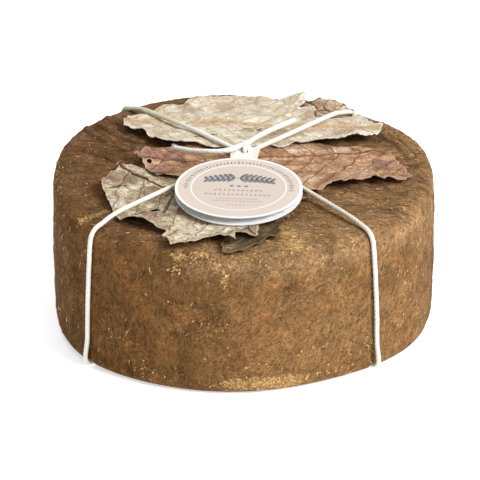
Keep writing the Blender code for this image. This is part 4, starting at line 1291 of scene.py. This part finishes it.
def ply_section():
    """The section of the twine: three round plies laid together."""
    bpy.ops.curve.primitive_bezier_circle_add(radius=TWINE_RADIUS * MM)
    section = bpy.context.object
    curve = section.data
    curve.splines.clear()
    spline = curve.splines.new("POLY")
    spline.points.add(17)
    for k, point in enumerate(spline.points):
        turn = 2 * math.pi * k / 18
        reach = TWINE_RADIUS * MM * (0.94 + 0.10 * abs(math.cos(1.5 * turn)) ** 0.8)
        point.co = (reach * math.cos(turn), reach * math.sin(turn), 0.0, 1.0)
    spline.use_cyclic_u = True
    section.hide_render = True
    return section


def lay_twine(name, route, girth=1.0, step=TWINE_STEP):
    """A length of twisted twine along a route."""
    curve = bpy.data.curves.new(name, "CURVE")
    curve.dimensions = "3D"
    spline = curve.splines.new("POLY")
    spline.points.add(len(route) - 1)
    for k, (point, place) in enumerate(zip(spline.points, route)):
        point.co = (*(place * MM), 1.0)
        point.tilt = 2 * math.pi * k * step / PLY_PITCH
        point.radius = girth
    curve.bevel_mode = "OBJECT"
    curve.bevel_object = section
    curve.use_fill_caps = True
    new_piece(name, curve)
    bpy.ops.object.convert(target="MESH")
    return bpy.context.object


def join(pieces):
    """Join pieces into the first one."""
    take(pieces[0])
    for piece in pieces:
        piece.select_set(True)
    bpy.ops.object.join()
    return bpy.context.object


def overhand_knot(middle, across, height):
    """The route of a small tight knot: three crossings round a middle."""
    places = []
    for k in range(46):
        turn = 2 * math.pi * k / 46
        places.append(Vector((middle[0] + across * (math.sin(turn) + 2 * math.sin(2 * turn)) / 3,
                              middle[1] + across * (math.cos(turn) - 2 * math.cos(2 * turn)) / 3,
                              middle[2] - height * math.sin(3 * turn))))
    return places + places[:1]


section = ply_section()
strand_routes = []
for first, second, hump in (("front_left", "back_right", 0.0), ("front_right", "back_left", HUMP_HEIGHT)):
    route = taut_strand(first)[:-1] + wall_strand(first) + base_run(first, second, hump)
    route += (taut_strand(second)[:-1] + wall_strand(second))[::-1]
    strand_routes.append(lie_on_rind(smooth_route(route)))
x, y, z = CROSSING
fold_x = TAG_CENTRE[0] - math.sin(TAG_TURN) * TAG_FOLD
fold_y = TAG_CENTRE[1] + math.cos(TAG_TURN) * TAG_FOLD
hole_x = TAG_CENTRE[0] - math.sin(TAG_TURN) * TAG_HOLE
hole_y = TAG_CENTRE[1] + math.cos(TAG_TURN) * TAG_HOLE
tag_loop = smooth_route(((x - 0.4, y, z + 3.4), (fold_x - 0.3, fold_y + 1.9, FOLD_HEIGHT + 1.3),
                         (fold_x - 0.1, fold_y + 0.2, FOLD_HEIGHT + 1.6),
                         (hole_x, hole_y + 1.2, FOLD_HEIGHT + 1.5),
                         (hole_x, hole_y + 0.1, FOLD_HEIGHT + 0.7), (hole_x, hole_y, FOLD_HEIGHT - 1.4),
                         (hole_x, hole_y + 1.6, FOLD_HEIGHT - 2.6), (x, y, z + 0.8)), 0.4)
left_tail = smooth_route(((x, y, z + 4.2), (x - 1.6, y - 4.6, z + 6.0), (x - 6.0, y - 8.8, z + 6.0),
                          (x - 11.5, y - 9.2, z + 5.3), (x - 17.0, y - 7.4, z + 4.5),
                          (x - 23.5, y - 3.3, z + 3.1), (x - 30.4, y + 2.7, z + 1.6)), 0.5)
right_tail = smooth_route(((x + 0.2, y, z + 3.9), (x + 3.2, y + 3.2, z + 5.0), (x + 8.8, y + 10.6, z + 5.1),
                           (x + 15.5, y + 19.2, z + 4.5), (x + 22.0, y + 27.0, z + 4.0)), 0.5)
lengths = [lay_twine("twine_run", route) for route in strand_routes]
lengths.append(lay_twine("twine_loop", tag_loop, 0.86, 0.4))
lengths.append(lay_twine("twine_left", left_tail, 1.14, 0.5))
lengths.append(lay_twine("twine_right", right_tail, 1.12, 0.5))
lengths.append(lay_twine("twine_knot", overhand_knot((x + 0.1, y, z + 2.7), 2.0, 1.15), 1.05, 0.6))
lengths.append(lay_twine("twine_hitch", overhand_knot((x + 0.2, y - 0.1, z + 4.7), 1.3, 0.55), 0.9, 0.6))
twine = join(lengths)
twine.name = "tied_twine"
take(twine)
bpy.ops.object.shade_smooth()
bpy.data.objects.remove(section)

cotton = new_finish("cream_cotton")
place = in_millimetres()
fluff = cloud(place, 0.35, 3.0, 0.7)
soil = cloud(place, 16.0, 3.0)
to_right, to_back, above = axes_of(place)
behind = ramp(to_back - to_right, 44.0, 78.0)
in_front = ramp(to_right - to_back, 45.0, 60.0) * ramp(above, 63.0, 66.0)
colour = blend(ramp(soil, 0.35, 0.65), (0.95, 0.94, 0.83), (0.98, 0.975, 0.92))
colour = blend(behind * 0.8, colour, (0.62, 0.58, 0.36))
colour = blend(in_front * 0.6, colour, (0.66, 0.6, 0.42))
colour = blend(ramp(fluff, 0.35, 0.7, 0.25, 0.0), colour, (0.62, 0.57, 0.42))
wear(colour, ramp(fluff, 0.3, 0.7, 0.9, 0.75), fluff, 0.12)
shader.inputs["Sheen Weight"].default_value = 0.3
shader.inputs["Sheen Roughness"].default_value = 0.5
hand_over(twine, cotton, "twine", "twine")

# Loose fibres of the twine. Cotton lint stands off all along it and thickly on the knot, and
# the plies fray at the two cut ends.
LINT_EVERY = 3.4
LINT_FROM = 4.0
LINT_LONG_BELOW = 73.0
draw = random.Random(5)
lint_corners, lint_faces = [], []
for route in strand_routes + [left_tail, right_tail]:
    step = (route[1] - route[0]).length
    for k in range(4, len(route) - 4, max(1, round(LINT_EVERY / step))):
        place = route[k + draw.randint(-2, 2)]
        if place.z < LINT_FROM:
            continue
        along = (route[k + 2] - route[k - 2]).normalized()
        side = (along.orthogonal() * draw.gauss(0, 1) + along.cross(along.orthogonal()) * draw.gauss(0, 1))
        side.normalize()
        if side.z < -0.2:
            side.z = -side.z
        reach = draw.uniform(0.5, 1.9) if place.z < LINT_LONG_BELOW else 0.4
        curl = stray(0.5, draw)
        thread = [place + side * 0.7 + along * reach * s * draw.uniform(0.6, 1.2)
                  + (side * 0.55 + curl * s * 0.45) * reach * s for s in (0.0, 0.35, 0.7, 1.0)]
        lay_thread(lint_corners, lint_faces, thread, draw.uniform(0.03, 0.055))
knot_middle = Vector((CROSSING[0], CROSSING[1], CROSSING[2] + 3.0))
for k in range(90):
    way = Vector([draw.gauss(0, 1) for _ in range(2)] + [draw.gauss(0, 0.5)]).normalized()
    root = knot_middle + Vector((way.x * 1.9, way.y * 1.9, way.z * 1.6))
    curl = Vector([draw.gauss(0, 0.6) for _ in range(2)] + [0.0])
    reach = draw.uniform(0.6, 1.7)
    thread = [root + (way + curl * s) * reach * s for s in (0.0, 0.35, 0.7, 1.0)]
    lay_thread(lint_corners, lint_faces, thread, draw.uniform(0.04, 0.08))
for route, girth in ((left_tail, 1.0), (right_tail, 1.1)):
    end = route[-1]
    along = (route[-1] - route[-4]).normalized()
    across = along.orthogonal().normalized()
    other = along.cross(across)
    for k in range(46):
        turn, reach = draw.uniform(0, 2 * math.pi), girth * math.sqrt(draw.random()) * 0.85
        root = end + (across * math.cos(turn) + other * math.sin(turn)) * reach - along * 1.2
        spread = (across * math.cos(turn) + other * math.sin(turn)) * draw.uniform(0.0, 0.55)
        length = draw.uniform(1.6, 3.4)
        thread = [root + (along + spread * s) * length * s for s in (0.0, 0.4, 0.75, 1.0)]
        lay_thread(lint_corners, lint_faces, thread, draw.uniform(0.06, 0.13))
lint = made_of("twine_lint", lint_corners, lint_faces)
lint_finish = new_finish("cotton_lint")
place = in_millimetres()
tint = cloud(place, 4.0)
colour = blend(tint, (0.84, 0.81, 0.7), (0.95, 0.93, 0.86))
wear(colour, ramp(tint, 0.3, 0.7, 0.8, 0.9), cloud(place, 0.2), 0.02)
hand_over(lint, lint_finish, "twine")

# The tag. A card of coated white board is die cut as two discs on one neck, printed on its
# outer side, folded across the middle of the neck and hung on the knot through a punched hole.
NECK_HALF = 6.4
BOARD_THICKNESS = 0.32
HOLE_RADIUS = 1.6
FRONT_SLOPE = 0.050
FOLD_GAP = 0.8
FOLD_BULGE = 0.28
FRONT_RISE = 0.25


def tag_place(side, back, height):
    """A place on the tag from its own two directions."""
    return (TAG_CENTRE[0] + side * math.cos(TAG_TURN) - back * math.sin(TAG_TURN),
            TAG_CENTRE[1] + side * math.sin(TAG_TURN) + back * math.cos(TAG_TURN), height)


def cut_card(name):
    """A disc with its neck drawn out to the fold, flat, in the tag's own directions."""
    bpy.ops.mesh.primitive_circle_add(vertices=120, radius=TAG_RADIUS * MM, fill_type="NGON")
    card = bpy.context.object
    card.name = name
    mesh = open_edit(card, "EDGE")
    for edge in mesh.edges:
        edge.select_set(all(v.co.y > 0 and abs(v.co.x) / MM < NECK_HALF for v in edge.verts))
    bpy.ops.mesh.extrude_region_move()
    mesh = bmesh.from_edit_mesh(card.data)
    reach_of_neck = max(vert.co.x for vert in mesh.verts if vert.select) / MM
    for vert in mesh.verts:
        if vert.select:
            vert.co.y = TAG_FOLD * MM
            vert.co.x *= NECK_HALF / reach_of_neck
    bmesh.update_edit_mesh(card.data)
    close_edit()
    return card


def set_card(card, slope, drop):
    """Lay a flat card on its slope at the tag's place."""
    side, back, _ = places_of(card)
    height = FOLD_HEIGHT + FRONT_RISE - drop - (TAG_FOLD - back) * slope
    spots = np.array([tag_place(s, b, h) for s, b, h in zip(side, back, height)]).T
    move_to(card, *spots)


front = cut_card("card_front")
back = cut_card("card_back")
open_edit(back, "FACE")
bpy.ops.mesh.select_all(action="SELECT")
bpy.ops.mesh.flip_normals()
close_edit()
set_card(front, FRONT_SLOPE, 0.0)
set_card(back, BACK_SLOPE, FOLD_GAP)
tag = join([front, back])
tag.name = "hang_tag"
mesh = open_edit(tag, "EDGE")
fold_line = Vector(tag_place(0, TAG_FOLD, 0)[:2])
fold_way = Vector((-math.sin(TAG_TURN), math.cos(TAG_TURN)))
for edge in mesh.edges:
    edge.select_set(all(abs((Vector(v.co.xy) / MM - fold_line).dot(fold_way)) < 0.05 for v in edge.verts))
bpy.ops.mesh.bridge_edge_loops(number_cuts=3, interpolation="PATH", profile_shape_factor=0.0)
mesh = bmesh.from_edit_mesh(tag.data)
for vert in mesh.verts:
    beyond = (Vector(vert.co.xy) / MM - fold_line).dot(fold_way)
    level = (vert.co.z / MM - FOLD_HEIGHT - FRONT_RISE + FOLD_GAP / 2) / (FOLD_GAP / 2)
    if beyond > -0.05 and abs(level) < 0.98:
        out = FOLD_BULGE * math.sqrt(1.0 - level * level) * MM
        vert.co.x += fold_way.x * out
        vert.co.y += fold_way.y * out
bmesh.update_edit_mesh(tag.data)
close_edit()
printed = new_finish("printed_board")
spot = mapped(on_piece(), Location=(-TAG_CENTRE[0] * MM, -TAG_CENTRE[1] * MM, 0.0))
spot = mapped(spot, Rotation=(0.0, 0.0, -TAG_TURN), Scale=(1 / MM, 1 / MM, 0.0))
reach = node("ShaderNodeVectorMath", {0: spot}, "Value", operation="LENGTH")
to_right, to_back, _ = axes_of(spot)
tooth = cloud(in_millimetres(), 0.5, 3.0)
tint = cloud(in_millimetres(), 9.0)
white = blend(tint, (0.85, 0.845, 0.825), (0.88, 0.875, 0.86))
field = blend(tint, (0.66, 0.55, 0.465), (0.69, 0.595, 0.52))
inner = blend(tint, (0.64, 0.525, 0.445), (0.67, 0.57, 0.5))
colour = blend(ramp(reach, 20.0, 20.3), inner, field)
ring_line = ramp(reach, 19.7, 19.95) * ramp(reach, 20.25, 20.5, 1.0, 0.0)
colour = blend(ring_line, colour, white)
colour = blend(ramp(reach, 25.7, 25.9), colour, white)
across = abs(to_right)
neck = ramp(to_back, 26.4, 26.9)
neck_line = ramp(across, 2.5, 2.8) * ramp(across, 3.4, 3.7, 1.0, 0.0)
neck_colour = blend(ramp(across, 3.4, 3.8), (0.83, 0.755, 0.71), (0.83, 0.735, 0.63))
neck_colour = blend(neck_line, neck_colour, white)
colour = blend(neck, colour, neck_colour)
wear(colour, ramp(tooth, 0.3, 0.7, 0.42, 0.55), tooth, 0.02)
board = new_finish("white_board")
tooth = cloud(in_millimetres(), 0.5, 3.0)
wear(blend(tooth, (0.88, 0.89, 0.9), (0.93, 0.935, 0.94)), ramp(tooth, 0.3, 0.7, 0.6, 0.75), tooth, 0.03)
tag.data.materials.clear()
tag.data.materials.append(printed)
tag.data.materials.append(board)
modify(tag, "SOLIDIFY", thickness=BOARD_THICKNESS * MM, offset=-1.0, material_offset=1,
       material_offset_rim=1)
bpy.ops.mesh.primitive_cylinder_add(vertices=32, radius=HOLE_RADIUS * MM, depth=8 * MM,
                                    location=[c * MM for c in tag_place(0, TAG_HOLE, FOLD_HEIGHT)])
punch = bpy.context.object
modify(tag, "BOOLEAN", object=punch, operation="DIFFERENCE", solver="EXACT")
bpy.data.objects.remove(punch)
take(tag)
bpy.ops.object.shade_smooth_by_angle(angle=math.radians(35))
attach(tag, "root")
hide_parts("tag")

# The print on the tag. Two plain sprigs of leaves, rows of small strokes and a ring of ticks
# are printed in slate ink, raised by no more than the ink itself.
INK_THICKNESS = 0.03
INK_LIFT = 0.005


def ink_mark(corners, faces, points):
    """Add one flat mark on the front card from its outline in the tag's own directions."""
    start = len(corners)
    count = len(points)
    for rise in (INK_LIFT, INK_LIFT + INK_THICKNESS):
        for side, back in points:
            height = FOLD_HEIGHT + FRONT_RISE - (TAG_FOLD - back) * FRONT_SLOPE + rise
            corners.append(Vector(tag_place(side, back, height)) * MM)
    faces.append([start + k for k in reversed(range(count))])
    faces.append([start + count + k for k in range(count)])
    for k in range(count):
        j = (k + 1) % count
        faces.append((start + k, start + j, start + count + j, start + count + k))


def bar(middle, turn, length, width):
    """The outline of a short straight mark."""
    cosine, sine = math.cos(turn), math.sin(turn)
    return [(middle[0] + a * cosine - b * sine, middle[1] + a * sine + b * cosine)
            for a, b in ((-length / 2, -width / 2), (length / 2, -width / 2),
                         (length / 2, width / 2), (-length / 2, width / 2))]


def leaflet(root, turn, length, width):
    """The outline of a small pointed leaf that grows from its root."""
    points = []
    for k in range(12):
        share = 2 * math.pi * k / 12
        a, b = length * (0.5 - 0.5 * math.cos(share)), width * math.sin(share) * 0.5
        points.append((root[0] + a * math.cos(turn) - b * math.sin(turn),
                       root[1] + a * math.sin(turn) + b * math.cos(turn)))
    return points


ink_corners, ink_faces = [], []
for k in range(47):
    turn = math.radians(-4 + 188 * k / 46)
    middle = (22.4 * math.cos(turn), 22.4 * math.sin(turn))
    ink_mark(ink_corners, ink_faces, bar(middle, turn, (2.1, 1.2, 1.6)[k % 3], 0.50))
for k in range(13):
    share = (k - 6) / 6
    root = (13.2 * share, 6.6 + 1.9 * math.cos(share * 1.7))
    ink_mark(ink_corners, ink_faces, bar(root, -0.24 * share, 2.3, 0.36))
    for sign in (-1, 1):
        turn = math.radians(52 * sign) if share > -0.01 else math.pi - math.radians(52 * sign)
        ink_mark(ink_corners, ink_faces, leaflet(root, turn, 5.0 - 1.9 * abs(share), 1.7))
for k in range(3):
    ink_mark(ink_corners, ink_faces, leaflet((-3.9 + 3.0 * k, 1.2), 0.0, 1.9, 1.3))
for level, count, gap, size in ((-2.6, 11, 1.9, 1.35), (-6.4, 15, 1.9, 1.35), (-10.2, 18, 1.0, 0.6),
                                (-12.2, 22, 1.0, 0.6), (-15.4, 5, 1.7, 0.8)):
    for k in range(count):
        middle = ((k + 0.5 - count / 2) * gap, level)
        turn = (0.9, -0.7, 1.5708)[k % 3]
        ink_mark(ink_corners, ink_faces, bar(middle, turn, size, 0.40 * math.sqrt(size)))
ink = made_of("tag_print", ink_corners, ink_faces)
slate = new_finish("slate_ink")
tint = cloud(in_millimetres(), 0.8, 3.0)
colour = blend(ramp(tint, 0.3, 0.7), (0.13, 0.145, 0.16), (0.25, 0.265, 0.28))
wear(colour, ramp(tint, 0.3, 0.7, 0.4, 0.6), tint, 0.01)
hand_over(ink, slate, "card")
